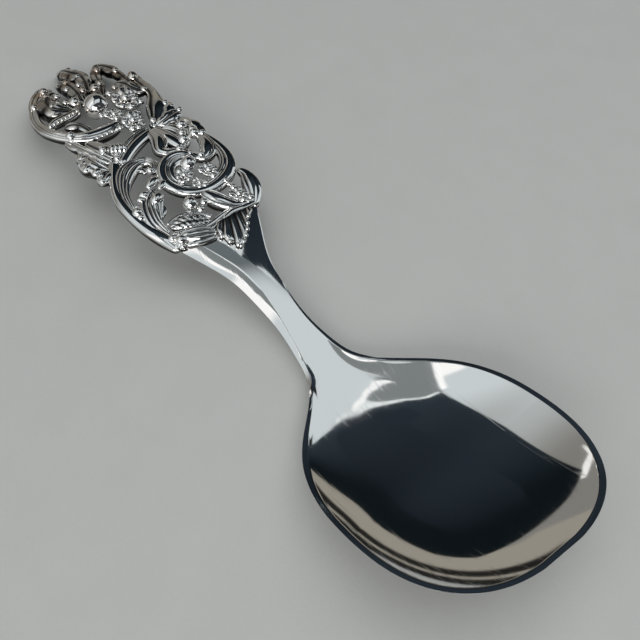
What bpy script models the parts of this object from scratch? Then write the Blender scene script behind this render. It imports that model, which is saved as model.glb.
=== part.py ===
"""Serving spoon with a pierced scrollwork handle, as it goes together on a silversmith's bench.

The bowl, stem and shoulder are one forged blank. The handle is built up on the shoulder from
separate cast scrolls, leaves, flowers and beads. Each is coped to the pieces that it is soldered to,
so a solder gap is left all round it.

Sizes are millimetres. A station is a distance along the spoon from the tail, an offset is a
distance to the left of someone who holds the handle with the bowl in front of them.
"""

import math

import bmesh
import bpy
import numpy as np
from mathutils import Vector

MM = 0.001

# Side profile: heights of the upper face at stations along the spoon
PROFILE = (
    (-6.0, -3.9),
    (15.0, 4.2),
    (30.0, 7.1),
    (45.0, 9.2),
    (60.0, 10.65),
    (72.0, 10.2),
    (85.0, 8.4),
    (97.0, 5.95),
    (109.0, 3.8),
    (121.0, 3.2),
    (131.0, 5.1),
    (154.0, 10.8),
    (182.0, 17.1),
)

# Plan outline: half widths of the blank from the shoulder to the widest part of the bowl
OUTLINE = (
    (79.5, 11.0),
    (85.0, 8.4),
    (92.0, 5.3),
    (100.0, 3.9),
    (108.0, 3.7),
    (115.0, 4.7),
    (121.0, 6.6),
    (126.0, 10.6),
    (131.0, 16.0),
    (136.0, 20.4),
    (142.0, 23.5),
    (148.0, 25.0),
    (154.0, 25.4),
)

# Bowl: its hollow starts as a shallow trough in the stem
BOWL_FRONT_LENGTH = 26.0
BOWL_FRONT_POWER = 2.45
BOWL_DEPTH = 6.5
BOWL_HOLLOW_POWER = 2.4
BOWL_WALL = 1.3
TROUGH_START = 102.0
TROUGH_END = 150.0
TROUGH_POWER = 2.0
TIP_TRIM = 0.15
REST_FLAT_DEPTH = 0.15

# Stem and shoulder
STEM_STATION = 105.0
STEM_THICKNESS = 3.0
STEM_CROWN = 0.9
SHOULDER_THICKNESS = 2.2
NECK_START = 108.0
NECK_END = 128.0

# Openwork
SOLDER_GAP = 0.3
WORK_DROP = 0.4
SHOULDER_LIFT = 0.25
SCROLL_WEIGHT = 1.2
LEAF_WEIGHT = 1.25
CURVE_STEPS = 3

# Rows and columns of the blank's faces; the bowl's rows close up towards the tip
STEM_ROWS = 14
BOWL_ROWS = 24
BLANK_COLUMNS = 12
ROW_CLOSING = 1.6

# Sections of the cast members, for a half width of one
SCROLL_SECTION = (
    (-0.75, -0.95),
    (0.75, -0.95),
    (1.0, 0.1),
    (0.65, 0.8),
    (0.0, 0.3),
    (-0.65, 0.8),
    (-1.0, 0.1),
)
LEAF_SECTION = (
    (-0.9, -0.4),
    (0.0, -0.5),
    (0.9, -0.4),
    (1.0, -0.05),
    (0.5, 0.4),
    (0.0, 0.15),
    (-0.5, 0.4),
    (-1.0, -0.05),
)

SHOULDER_STATION = OUTLINE[0][0]
BOWL_STATION, BOWL_HALF_WIDTH = OUTLINE[-1]

SILVER = (0.80, 0.79, 0.77, 1.0)
DARK_SILVER = (0.45, 0.44, 0.42, 1.0)


def clear_scene():
    for obj in list(bpy.data.objects):
        bpy.data.objects.remove(obj, do_unlink=True)


def silver(name, colour, roughness):
    material = bpy.data.materials.new(name)
    material.use_nodes = True
    shader = material.node_tree.nodes["Principled BSDF"]
    shader.inputs["Base Color"].default_value = colour
    shader.inputs["Metallic"].default_value = 1.0
    shader.inputs["Roughness"].default_value = roughness
    return material


class SmoothCurve:
    """A smooth curve through points of a station and a value, with no bend at its two ends."""

    def __init__(self, points):
        self.stations, self.values = np.array(points).T
        self.spans = np.diff(self.stations)
        slopes = np.diff(self.values) / self.spans
        system = np.eye(len(points))
        pull = np.zeros(len(points))
        for i in range(1, len(points) - 1):
            before, after = self.spans[i - 1], self.spans[i]
            system[i, i - 1 : i + 2] = before, 2 * (before + after), after
            pull[i] = 6 * (slopes[i] - slopes[i - 1])
        self.bends = np.linalg.solve(system, pull)

    def at(self, station):
        """Value of the curve at a station."""
        i = int(np.clip(np.searchsorted(self.stations, station) - 1, 0, len(self.spans) - 1))
        span = self.spans[i]
        t = (station - self.stations[i]) / span
        s = 1 - t
        bend = (s**3 - s) * self.bends[i] + (t**3 - t) * self.bends[i + 1]
        return float(s * self.values[i] + t * self.values[i + 1] + bend * span * span / 6)


PROFILE_CURVE = SmoothCurve(PROFILE)
OUTLINE_CURVE = SmoothCurve(OUTLINE)


def profile_height(station):
    return PROFILE_CURVE.at(station)


def blank_half_width(station):
    """Half width of the forged blank: the outline's points, then the round of the bowl's front."""
    if station < BOWL_STATION:
        return OUTLINE_CURVE.at(station)
    left = 1 - ((station - BOWL_STATION) / BOWL_FRONT_LENGTH) ** BOWL_FRONT_POWER
    return BOWL_HALF_WIDTH * left ** (1 / BOWL_FRONT_POWER)


def eased(station, start, end):
    """0 up to the start, 1 from the end on, eased between them."""
    t = min(max((station - start) / (end - start), 0.0), 1.0)
    return t**3 * (10 - 15 * t + 6 * t * t)


def neck_share(station):
    """0 on the stem, 1 on the bowl."""
    return eased(station, NECK_START, NECK_END)


def blank_hollow(station, offset):
    """Depth of the trough in the stem and of the bowl that it opens into."""
    if station < BOWL_STATION:
        across = abs(offset) / blank_half_width(station)
        power = TROUGH_POWER + (BOWL_HOLLOW_POWER - TROUGH_POWER) * neck_share(station)
        return BOWL_DEPTH * eased(station, TROUGH_START, TROUGH_END) * (1 - across**power)
    along = (station - BOWL_STATION) / BOWL_FRONT_LENGTH
    across = abs(offset) / BOWL_HALF_WIDTH
    gauge = (along**BOWL_FRONT_POWER + across**BOWL_FRONT_POWER) ** (1 / BOWL_FRONT_POWER)
    return BOWL_DEPTH * (1 - gauge**BOWL_HOLLOW_POWER)


def blank_height(station, offset):
    """Upper face of the blank: the profile, less its hollow, with the crown of the stem."""
    across = offset / blank_half_width(station)
    crown = STEM_CROWN * (1 - eased(station, SHOULDER_STATION, NECK_START)) * (1 - across**2)
    return profile_height(station) - blank_hollow(station, offset) + crown


def blank_thickness(station):
    flare = min(max(STEM_STATION - station, 0.0) / (STEM_STATION - SHOULDER_STATION), 1.0)
    stem = STEM_THICKNESS + (SHOULDER_THICKNESS - STEM_THICKNESS) * flare
    return stem + (BOWL_WALL - stem) * neck_share(station)


def blank_station(row):
    """Station of one of the blank's rows."""
    if row <= STEM_ROWS:
        return SHOULDER_STATION + (NECK_END - SHOULDER_STATION) * row / STEM_ROWS
    tip = BOWL_STATION + BOWL_FRONT_LENGTH - TIP_TRIM
    left = (STEM_ROWS + BOWL_ROWS - row) / BOWL_ROWS
    return NECK_END + (tip - NECK_END) * (1 - left**ROW_CLOSING)


def under_bowl(station):
    """Height of the blank's underside on the centre line."""
    return blank_height(station, 0.0) - blank_thickness(station)


def rest_point():
    """Station and height of the lowest point under the bowl, which the spoon stands on."""
    stations = [NECK_START + (BOWL_STATION - NECK_START) * i / 400 for i in range(400)]
    lowest = min(stations, key=under_bowl)
    return lowest, under_bowl(lowest)


def place(station, offset, height):
    """A point of the spoon in metres."""
    return Vector((station, offset, height)) * MM


def surface(station, offset, lift):
    """A point of the openwork, lift above the middle of its depth."""
    return place(station, offset, profile_height(station) - WORK_DROP + lift)


def on_blank(station, offset, lift):
    """A point lift above the blank's upper face."""
    return place(station, offset, blank_height(station, offset) + lift)


def collection(name, hidden=False):
    made = bpy.data.collections.new(name)
    bpy.context.scene.collection.children.link(made)
    made.hide_render = hidden
    return made


def mesh_of(obj):
    """The object's evaluated mesh in world space, with its seams welded and its largest body kept."""
    graph = bpy.context.evaluated_depsgraph_get()
    mesh = bpy.data.meshes.new_from_object(obj.evaluated_get(graph))
    mesh.transform(obj.matrix_world)
    shape = bmesh.new()
    shape.from_mesh(mesh)
    bmesh.ops.remove_doubles(shape, verts=shape.verts, dist=0.001 * MM)
    keep_largest(shape)
    bmesh.ops.recalc_face_normals(shape, faces=shape.faces)
    shape.to_mesh(mesh)
    shape.free()
    return mesh


def body_around(start):
    """The vertices of the body that a vertex belongs to."""
    body = {start}
    stack = [start]
    while stack:
        vert = stack.pop()
        for edge in vert.link_edges:
            other = edge.other_vert(vert)
            if other not in body:
                body.add(other)
                stack.append(other)
    return body


def skin_area(body):
    faces = {face for vert in body for face in vert.link_faces}
    return sum(face.calc_area() for face in faces)


def keep_largest(shape):
    """Deletes every body but the one with the most skin: what a cope cuts off is waste."""
    seen = set()
    bodies = []
    for vert in shape.verts:
        if vert not in seen:
            bodies.append(body_around(vert))
            seen |= bodies[-1]
    bodies.sort(key=skin_area)
    waste = [vert for body in bodies[:-1] for vert in body]
    bmesh.ops.delete(shape, geom=waste, context="VERTS")


class Bench:
    """Holds the pieces in the order in which they are fitted."""

    def __init__(self):
        self.parts = collection("serving_spoon")
        self.cutters = collection("cutters", hidden=True)
        self.polished = silver("polished_silver", SILVER, 0.08)
        self.toned = silver("toned_silver", DARK_SILVER, 0.18)
        rest_station, lowest = rest_point()
        self.ground = lowest + REST_FLAT_DEPTH
        self.origin = place(rest_station, 0.0, self.ground)
        self.seats = []
        self.floor = self.floor_block()

    def floor_block(self):
        """The ground, which cuts the rest flats."""
        bpy.ops.mesh.primitive_cube_add(size=1)
        block = bpy.context.object
        block.name = "ground_cutter"
        spoon_length = PROFILE[-1][0] - PROFILE[0][0]
        block.scale = Vector((2 * spoon_length, 4 * BOWL_HALF_WIDTH, BOWL_DEPTH)) * MM
        block.location = place(spoon_length / 2, 0.0, self.ground - BOWL_DEPTH / 2)
        self.hide(block)
        return block

    def hide(self, obj):
        for held in list(obj.users_collection):
            held.objects.unlink(obj)
        self.cutters.objects.link(obj)
        obj.hide_render = True
        obj.display_type = "WIRE"

    def set_down(self):
        """Moves the finished spoon, so that the origin is on the ground under the bowl."""
        for obj in [*self.parts.objects, *self.cutters.objects]:
            obj.location -= self.origin

    def add(self, obj, name, material):
        """Copes the rough shape to the pieces already fitted, and keeps it as a node."""
        bpy.context.view_layer.update()
        node = bpy.data.objects.new(name, mesh_of(obj))
        bpy.data.objects.remove(obj)
        self.parts.objects.link(node)
        grown = self.grown(node)
        for seat in [*self.seats, self.floor]:
            bpy.context.view_layer.update()
            if near(node, seat):
                cope(node, seat)
        node.data.name = name
        node.data.materials.clear()
        node.data.materials.append(material)
        node.data.shade_smooth()
        node.data.set_sharp_from_angle(angle=math.radians(40))
        self.seats.append(grown)
        return node

    def grown(self, node):
        """A copy of the rough piece, fatter by the solder gap, to cope later pieces with."""
        copy = bpy.data.objects.new(node.name + "_seat", node.data.copy())
        fatten = copy.modifiers.new("solder_gap", "DISPLACE")
        fatten.strength = SOLDER_GAP * 1.2 * MM
        fatten.mid_level = 0.0
        bpy.context.scene.collection.objects.link(copy)
        bpy.context.view_layer.update()
        mesh = mesh_of(copy)
        bpy.data.objects.remove(copy)
        seat = bpy.data.objects.new(node.name + "_seat", mesh)
        self.hide(seat)
        return seat


def corners(obj):
    points = [obj.matrix_world @ Vector(c) for c in obj.bound_box]
    return [(min(p[i] for p in points), max(p[i] for p in points)) for i in range(3)]


def near(first, second):
    pairs = zip(corners(first), corners(second))
    return all(a[0] < b[1] and b[0] < a[1] for a, b in pairs)


def cope(node, seat):
    """Cuts the piece back to clear its seat, which may cross itself where a scroll turns tightly."""
    cut = node.modifiers.new("cope", "BOOLEAN")
    cut.operation = "DIFFERENCE"
    cut.solver = "MANIFOLD"
    cut.object = seat
    bpy.context.view_layer.update()
    mesh = mesh_of(node)
    node.modifiers.remove(cut)
    node.data = mesh


def forged_blank(bench):
    """Bowl, stem and shoulder: a grid laid along the outline, hollowed, then thickened downwards."""
    mesh = bpy.data.meshes.new("blank")
    shape = bmesh.new()
    rows = STEM_ROWS + BOWL_ROWS
    bmesh.ops.create_grid(shape, x_segments=rows, y_segments=BLANK_COLUMNS, size=1.0)
    for vert in shape.verts:
        station = blank_station(round((vert.co.x + 1) / 2 * rows))
        offset = vert.co.y * blank_half_width(station)
        vert.co = place(station, offset, blank_height(station, offset))
    under = bmesh.ops.extrude_face_region(shape, geom=shape.faces)["geom"]
    for vert in under:
        if isinstance(vert, bmesh.types.BMVert):
            vert.co.z -= blank_thickness(vert.co.x / MM) * MM
    bmesh.ops.recalc_face_normals(shape, faces=shape.faces)
    shape.to_mesh(mesh)
    shape.free()
    obj = bpy.data.objects.new("blank", mesh)
    bench.parts.objects.link(obj)
    return bench.add(obj, "bowl_and_stem", bench.polished)


def section_curve(bench, name, points):
    """A closed section that the cast members are swept with."""
    curve = bpy.data.curves.new(name, "CURVE")
    curve.dimensions = "2D"
    spline = curve.splines.new("POLY")
    spline.points.add(len(points) - 1)
    for point, (x, y) in zip(spline.points, points):
        point.co = (x * MM, y * MM, 0, 1)
    spline.use_cyclic_u = True
    obj = bpy.data.objects.new(name, curve)
    bench.hide(obj)
    return obj


def member(bench, name, section, route, weight, lift=0.0, point=surface):
    """A cast scroll or leaf: the section swept along a smooth route of (station, offset, half width)."""
    curve = bpy.data.curves.new(name, "CURVE")
    curve.dimensions = "3D"
    curve.twist_mode = "Z_UP"
    curve.resolution_u = CURVE_STEPS
    curve.bevel_mode = "OBJECT"
    curve.bevel_object = section
    curve.use_fill_caps = True
    spline = curve.splines.new("BEZIER")
    spline.bezier_points.add(len(route) - 1)
    for knot, (station, offset, half_width) in zip(spline.bezier_points, route):
        knot.co = point(station, offset, lift)
        knot.handle_left_type = knot.handle_right_type = "AUTO"
        knot.radius = half_width * weight
    obj = bpy.data.objects.new(name + "_route", curve)
    bench.parts.objects.link(obj)
    return bench.add(obj, name, bench.toned)


def dome(bench, name, station, offset, radius, lift=0.0, material=None):
    """A bead, bud or boss."""
    bpy.ops.mesh.primitive_uv_sphere_add(segments=12, ring_count=7, radius=radius * MM)
    obj = bpy.context.object
    obj.location = surface(station, offset, lift)
    return bench.add(obj, name, material or bench.toned)


def flower(bench, name, station, offset, radius, petals=5, lift=0.6):
    """A rosette: a low dome whose edge swells into petals round a raised heart."""
    bpy.ops.mesh.primitive_uv_sphere_add(segments=4 * petals, ring_count=7, radius=1.0)
    obj = bpy.context.object
    for vert in obj.data.vertices:
        angle = math.atan2(vert.co.y, vert.co.x)
        across = math.hypot(vert.co.x, vert.co.y)
        swell = 0.82 + 0.18 * math.cos(petals * angle)
        heart = 0.35 if across < 0.45 else 0.0
        vert.co.x *= radius * swell * MM
        vert.co.y *= radius * swell * MM
        vert.co.z = (vert.co.z * 0.5 * radius + (heart if vert.co.z > 0 else 0.0)) * MM
    obj.location = surface(station, offset, lift)
    return bench.add(obj, name, bench.toned)


def handle_scrolls(bench):
    section = section_curve(bench, "scroll_section", SCROLL_SECTION)
    routes = {
        "right_rim_scroll": [
            (81.2, -10.6, 0.8), (77.0, -11.9, 1.2), (73.0, -13.6, 1.0), (68.0, -14.7, 0.9),
            (63.0, -14.4, 0.9), (59.0, -12.9, 0.9), (55.0, -10.4, 1.1), (51.5, -8.2, 1.3),
        ],
        "left_volute": [
            (53.0, 13.6, 0.8), (56.0, 14.4, 0.9), (60.0, 14.6, 1.0), (64.0, 14.0, 1.2),
            (67.0, 12.2, 1.4), (69.0, 9.0, 1.4), (69.8, 5.5, 1.2), (69.2, 1.8, 1.1),
            (67.0, -1.0, 1.0), (63.8, -2.2, 1.0), (60.5, -1.2, 1.0), (58.2, 1.2, 1.0),
            (57.6, 3.8, 0.9), (59.0, 5.9, 0.8), (61.5, 6.6, 0.6),
        ],
        "left_shoulder_scroll": [
            (68.8, 14.0, 0.6), (70.6, 14.5, 0.9), (73.0, 14.3, 1.1), (75.6, 13.3, 1.0),
            (77.7, 11.9, 0.8), (79.4, 10.4, 0.7),
        ],
        "shoulder_strap": [
            (79.0, 9.4, 0.8), (78.4, 6.0, 0.9), (78.6, 2.4, 0.9), (79.4, -1.4, 1.0),
            (79.0, -5.4, 1.1), (77.4, -9.8, 0.9),
        ],
        "right_c_scroll": [
            (58.7, -3.6, 0.6), (58.2, -2.0, 0.7), (56.4, -1.5, 0.8), (54.8, -3.2, 0.9),
            (54.9, -5.8, 1.2), (56.4, -8.4, 1.4), (59.2, -10.9, 1.2), (62.6, -12.5, 0.9),
            (66.5, -13.2, 0.7),
        ],
        "centre_strap": [
            (45.6, 4.4, 1.2), (46.6, 1.6, 1.4), (48.0, -1.6, 1.4), (50.2, -4.8, 1.3),
            (52.4, -7.6, 1.2),
        ],
        "tail_right_rim": [
            (37.6, 1.4, 0.8), (38.9, -1.2, 1.3), (39.3, -4.2, 1.4), (38.7, -7.4, 1.3),
            (37.0, -10.4, 1.2), (34.4, -12.6, 1.1), (31.2, -14.0, 1.1), (27.8, -14.5, 1.0),
            (24.4, -14.0, 0.9), (21.4, -12.9, 0.9), (18.4, -11.5, 0.9), (15.6, -9.6, 0.9),
            (13.3, -7.6, 0.8), (12.2, -5.9, 0.7), (13.0, -4.7, 0.6), (14.4, -4.8, 0.5),
        ],
        "tail_left_rim": [
            (44.6, 6.6, 0.8), (41.8, 8.9, 1.2), (38.6, 11.2, 1.5), (35.2, 13.1, 1.4),
            (31.8, 14.4, 1.2), (28.4, 14.8, 1.1), (25.2, 14.8, 1.0), (22.4, 15.0, 0.9),
            (20.4, 14.6, 0.7),
        ],
        "tail_inner_band": [
            (27.2, -3.8, 0.8), (28.0, -6.2, 1.0), (28.4, -9.0, 1.0), (28.8, -11.2, 0.9),
            (29.4, -13.0, 0.7),
        ],
    }
    for name, route in routes.items():
        member(bench, name, section, route, SCROLL_WEIGHT)


def handle_leaves(bench):
    section = section_curve(bench, "leaf_section", LEAF_SECTION)
    shoulder_routes = {
        "shoulder_fan_leaf": [
            (79.2, 6.8, 1.2), (80.8, 4.8, 2.7), (83.2, 2.9, 3.1), (85.6, 1.8, 2.2), (88.2, 0.6, 0.6),
        ],
        "shoulder_reed_leaf": [
            (82.0, -0.8, 0.9), (81.6, -3.0, 1.5), (81.0, -5.4, 1.5), (80.4, -7.6, 0.9),
        ],
    }
    routes = {
        "seed_pod": (0.2, [
            (77.4, 0.6, 0.7), (76.2, -2.4, 1.5), (75.2, -5.4, 1.5), (75.0, -8.6, 0.7),
        ]),
        "left_crescent_leaf": (0.2, [
            (54.0, 13.2, 0.8), (57.4, 12.9, 1.3), (59.9, 11.7, 1.4), (61.0, 9.8, 1.1),
            (60.0, 8.0, 0.8), (57.8, 7.2, 0.6),
        ]),
        "left_shoulder_leaf": (0.0, [
            (77.6, 9.4, 0.7), (77.0, 6.8, 1.0), (75.0, 4.8, 1.2), (72.4, 3.4, 1.1),
            (70.2, 2.8, 0.8),
        ]),
        "right_acanthus_leaf": (0.2, [
            (76.6, -10.6, 0.7), (73.0, -11.2, 1.2), (69.6, -10.4, 1.5), (67.2, -8.4, 2.1),
            (65.4, -6.6, 1.3), (63.2, -5.2, 1.6), (62.4, -3.2, 0.7),
        ]),
        "hub_lower_leaf": (0.2, [
            (45.6, 4.6, 0.8), (48.5, 4.6, 1.2), (51.5, 3.7, 1.4), (54.0, 2.6, 1.0),
            (55.4, 3.5, 0.8), (56.0, 5.2, 0.7),
        ]),
        "hub_upper_leaf": (0.2, [
            (45.4, 6.0, 0.7), (49.0, 6.4, 1.1), (52.5, 7.0, 1.2), (55.6, 7.6, 0.8),
        ]),
        "hub_left_leaf": (0.4, [
            (45.0, 7.2, 0.8), (44.7, 9.6, 1.4), (44.0, 12.2, 1.6), (43.1, 15.0, 0.8),
        ]),
        "left_lobe_leaf": (0.3, [
            (43.4, 11.0, 0.8), (41.6, 12.8, 1.2), (39.6, 14.0, 1.2), (37.4, 14.6, 0.7),
        ]),
        "left_edge_leaf": (0.0, [
            (45.4, 13.4, 0.8), (48.4, 14.7, 1.0), (51.0, 15.0, 1.1), (54.4, 14.2, 0.8),
        ]),
        "left_loop_leaf": (0.0, [
            (45.8, 8.0, 0.6), (47.4, 9.6, 0.9), (49.4, 10.4, 1.0), (51.8, 10.2, 1.0),
            (54.0, 9.0, 1.0), (55.2, 7.6, 0.7),
        ]),
        "right_shell_leaf": (0.0, [
            (53.0, -10.6, 0.7), (50.6, -12.6, 1.9), (47.8, -13.3, 1.9), (45.0, -12.9, 1.2),
            (43.0, -12.0, 0.6),
        ]),
        "right_shell_tip": (0.0, [
            (53.6, -10.8, 0.7), (54.2, -12.4, 1.4), (55.2, -13.9, 1.2), (56.4, -15.0, 0.5),
        ]),
        "right_long_leaf": (0.0, [
            (50.6, -8.6, 0.9), (47.0, -9.8, 1.1), (43.4, -11.0, 1.1), (40.0, -12.0, 1.0),
            (36.8, -12.7, 0.6),
        ]),
        "right_short_leaf": (0.2, [
            (49.4, -6.8, 0.9), (46.4, -7.2, 1.3), (43.2, -8.3, 1.2), (40.2, -9.2, 0.8),
        ]),
        "ring_oval_leaf": (0.0, [
            (32.0, -10.4, 0.7), (32.3, -8.6, 1.0), (33.9, -7.0, 1.0), (37.4, -6.3, 0.6),
        ]),
        "tail_middle_leaf": (0.1, [
            (21.4, 2.4, 0.8), (17.4, 3.6, 1.4), (13.4, 4.2, 1.8), (9.6, 3.3, 1.9),
            (6.8, 3.0, 1.4), (4.6, 2.5, 0.6),
        ]),
        "tail_left_leaf": (0.0, [
            (24.6, 12.7, 0.7), (20.8, 12.6, 0.9), (17.0, 12.7, 1.1), (13.4, 12.2, 1.3),
            (10.5, 10.9, 1.0), (12.6, 9.3, 1.0), (15.4, 7.8, 1.0), (18.8, 6.8, 0.9),
            (22.2, 5.6, 0.8), (25.2, 4.2, 0.6),
        ]),
        "tail_inner_leaf": (0.2, [
            (25.4, -1.2, 0.8), (21.4, -0.7, 1.4), (17.4, -0.4, 1.5), (14.2, -0.8, 1.4),
            (11.6, -1.6, 0.7),
        ]),
        "tail_left_inner_leaf": (0.3, [
            (30.2, 13.8, 0.7), (29.0, 12.0, 1.2), (26.6, 10.9, 1.5), (24.2, 10.2, 1.4),
            (22.4, 9.1, 0.7),
        ]),
        "tail_right_leaf": (0.1, [
            (27.0, -4.8, 0.8), (25.2, -7.8, 1.9), (22.6, -9.2, 2.1), (19.4, -8.2, 1.8),
            (17.2, -6.2, 1.3), (16.2, -4.0, 0.8),
        ]),
    }
    for name, route in shoulder_routes.items():
        member(bench, name, section, route, LEAF_WEIGHT, SHOULDER_LIFT, on_blank)
    for name, (lift, route) in routes.items():
        member(bench, name, section, route, LEAF_WEIGHT, lift)


def handle_flowers(bench):
    flower(bench, "centre_flower", 40.3, 3.6, 3.0)
    flower(bench, "ring_flower", 34.8, 1.6, 2.3)
    flower(bench, "left_flower", 30.9, 7.2, 4.0, petals=6)
    flower(bench, "shoulder_flower", 75.4, 9.2, 2.2)
    flower(bench, "volute_flower", 65.7, 7.6, 2.4)
    flower(bench, "volute_side_flower", 67.2, 3.4, 1.8)
    flower(bench, "volute_lower_flower", 63.9, 1.5, 2.1)


def handle_beads(bench):
    dome(bench, "fruit_boss", 28.7, 0.1, 3.2, 0.6, bench.polished)
    dome(bench, "binding_knot", 48.6, -5.6, 1.9, 0.7)
    dome(bench, "volute_eye", 61.6, 4.2, 1.8, 0.5, bench.polished)
    dome(bench, "round_bud", 72.0, -1.5, 1.9, 0.2)
    dome(bench, "rim_bead", 68.4, -12.2, 1.1, 0.4)
    dome(bench, "shoulder_knot", 80.0, -9.3, 1.6, 0.8)
    dome(bench, "left_bead", 48.6, 11.8, 1.2, 0.5)
    dome(bench, "left_edge_bead", 53.0, 12.2, 1.2, 0.5)
    dome(bench, "tail_left_bead", 22.6, 13.9, 1.3, 0.9)
    dome(bench, "tail_right_bead", 13.9, -6.3, 1.2, 0.5)
    dome(bench, "tail_middle_bead", 21.8, 3.9, 1.3, 0.8)
    dome(bench, "tail_ring_bead", 24.2, -3.2, 1.5, 0.6)


def main():
    clear_scene()
    bench = Bench()
    forged_blank(bench)
    handle_scrolls(bench)
    handle_leaves(bench)
    handle_flowers(bench)
    handle_beads(bench)
    bench.set_down()


main()
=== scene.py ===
"""Looks of a serving spoon in polished silver, with a pierced handle of scrolls, leaves and flowers.

Sizes are millimetres until a mesh is placed. A station is a distance along the spoon from the tail,
an offset is a distance to the left of someone who holds the handle with the bowl in front of them,
and a height is measured from the same level as the spoon's side profile.
"""

import logging
import math
from dataclasses import dataclass
from enum import Enum
from typing import Any

import bpy
import numpy as np
from mathutils import Matrix, Vector


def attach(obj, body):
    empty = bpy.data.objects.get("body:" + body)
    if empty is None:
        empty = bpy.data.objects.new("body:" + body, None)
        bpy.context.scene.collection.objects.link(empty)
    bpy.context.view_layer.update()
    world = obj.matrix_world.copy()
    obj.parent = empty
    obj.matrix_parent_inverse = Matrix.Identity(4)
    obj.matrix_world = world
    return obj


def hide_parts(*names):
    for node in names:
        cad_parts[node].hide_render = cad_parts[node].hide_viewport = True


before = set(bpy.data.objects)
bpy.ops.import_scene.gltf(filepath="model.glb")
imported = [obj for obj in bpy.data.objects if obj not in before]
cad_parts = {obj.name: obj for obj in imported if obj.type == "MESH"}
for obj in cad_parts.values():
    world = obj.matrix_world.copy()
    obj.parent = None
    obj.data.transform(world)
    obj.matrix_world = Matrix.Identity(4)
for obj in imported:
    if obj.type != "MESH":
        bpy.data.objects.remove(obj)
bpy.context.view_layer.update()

MM = 0.001
WELD = 0.002 * MM
LOG = logging.getLogger("serving_spoon")

Point = tuple[float, ...]
Route = tuple[tuple[float, float, float], ...]


def smooth_through(points: Any, at: np.ndarray) -> np.ndarray:
    """Reads a smooth curve through points.

    Args:
        points: Pairs of a place and a value, in order of place.
        at: Places to read the curve at.

    Returns:
        The curve's values there.
    """
    knots = np.asarray(points, float)
    x, y = knots[:, 0], knots[:, 1:]
    span, last = np.diff(x), len(x) - 1
    system, pull = np.eye(last + 1), np.zeros_like(y)
    for i in range(1, last):
        system[i, i - 1 : i + 2] = span[i - 1], 2 * (span[i - 1] + span[i]), span[i]
        pull[i] = 6 * ((y[i + 1] - y[i]) / span[i] - (y[i] - y[i - 1]) / span[i - 1])
    bend = np.linalg.solve(system, pull)
    at = np.asarray(at, float)
    i = np.clip(np.searchsorted(x, at) - 1, 0, last - 1)
    step = span[i][:, None]
    t = ((at - x[i]) / span[i])[:, None]
    s = 1 - t
    curve = s * y[i] + t * y[i + 1] + ((s**3 - s) * bend[i] + (t**3 - t) * bend[i + 1]) * step**2 / 6
    return curve[:, 0] if curve.shape[1] == 1 else curve


def eased(value: np.ndarray, start: float, end: float) -> np.ndarray:
    """Goes smoothly from 0 at start to 1 at end."""
    t = np.clip((value - start) / (end - start), 0.0, 1.0)
    return t**3 * (10 - 15 * t + 6 * t * t)


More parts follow.
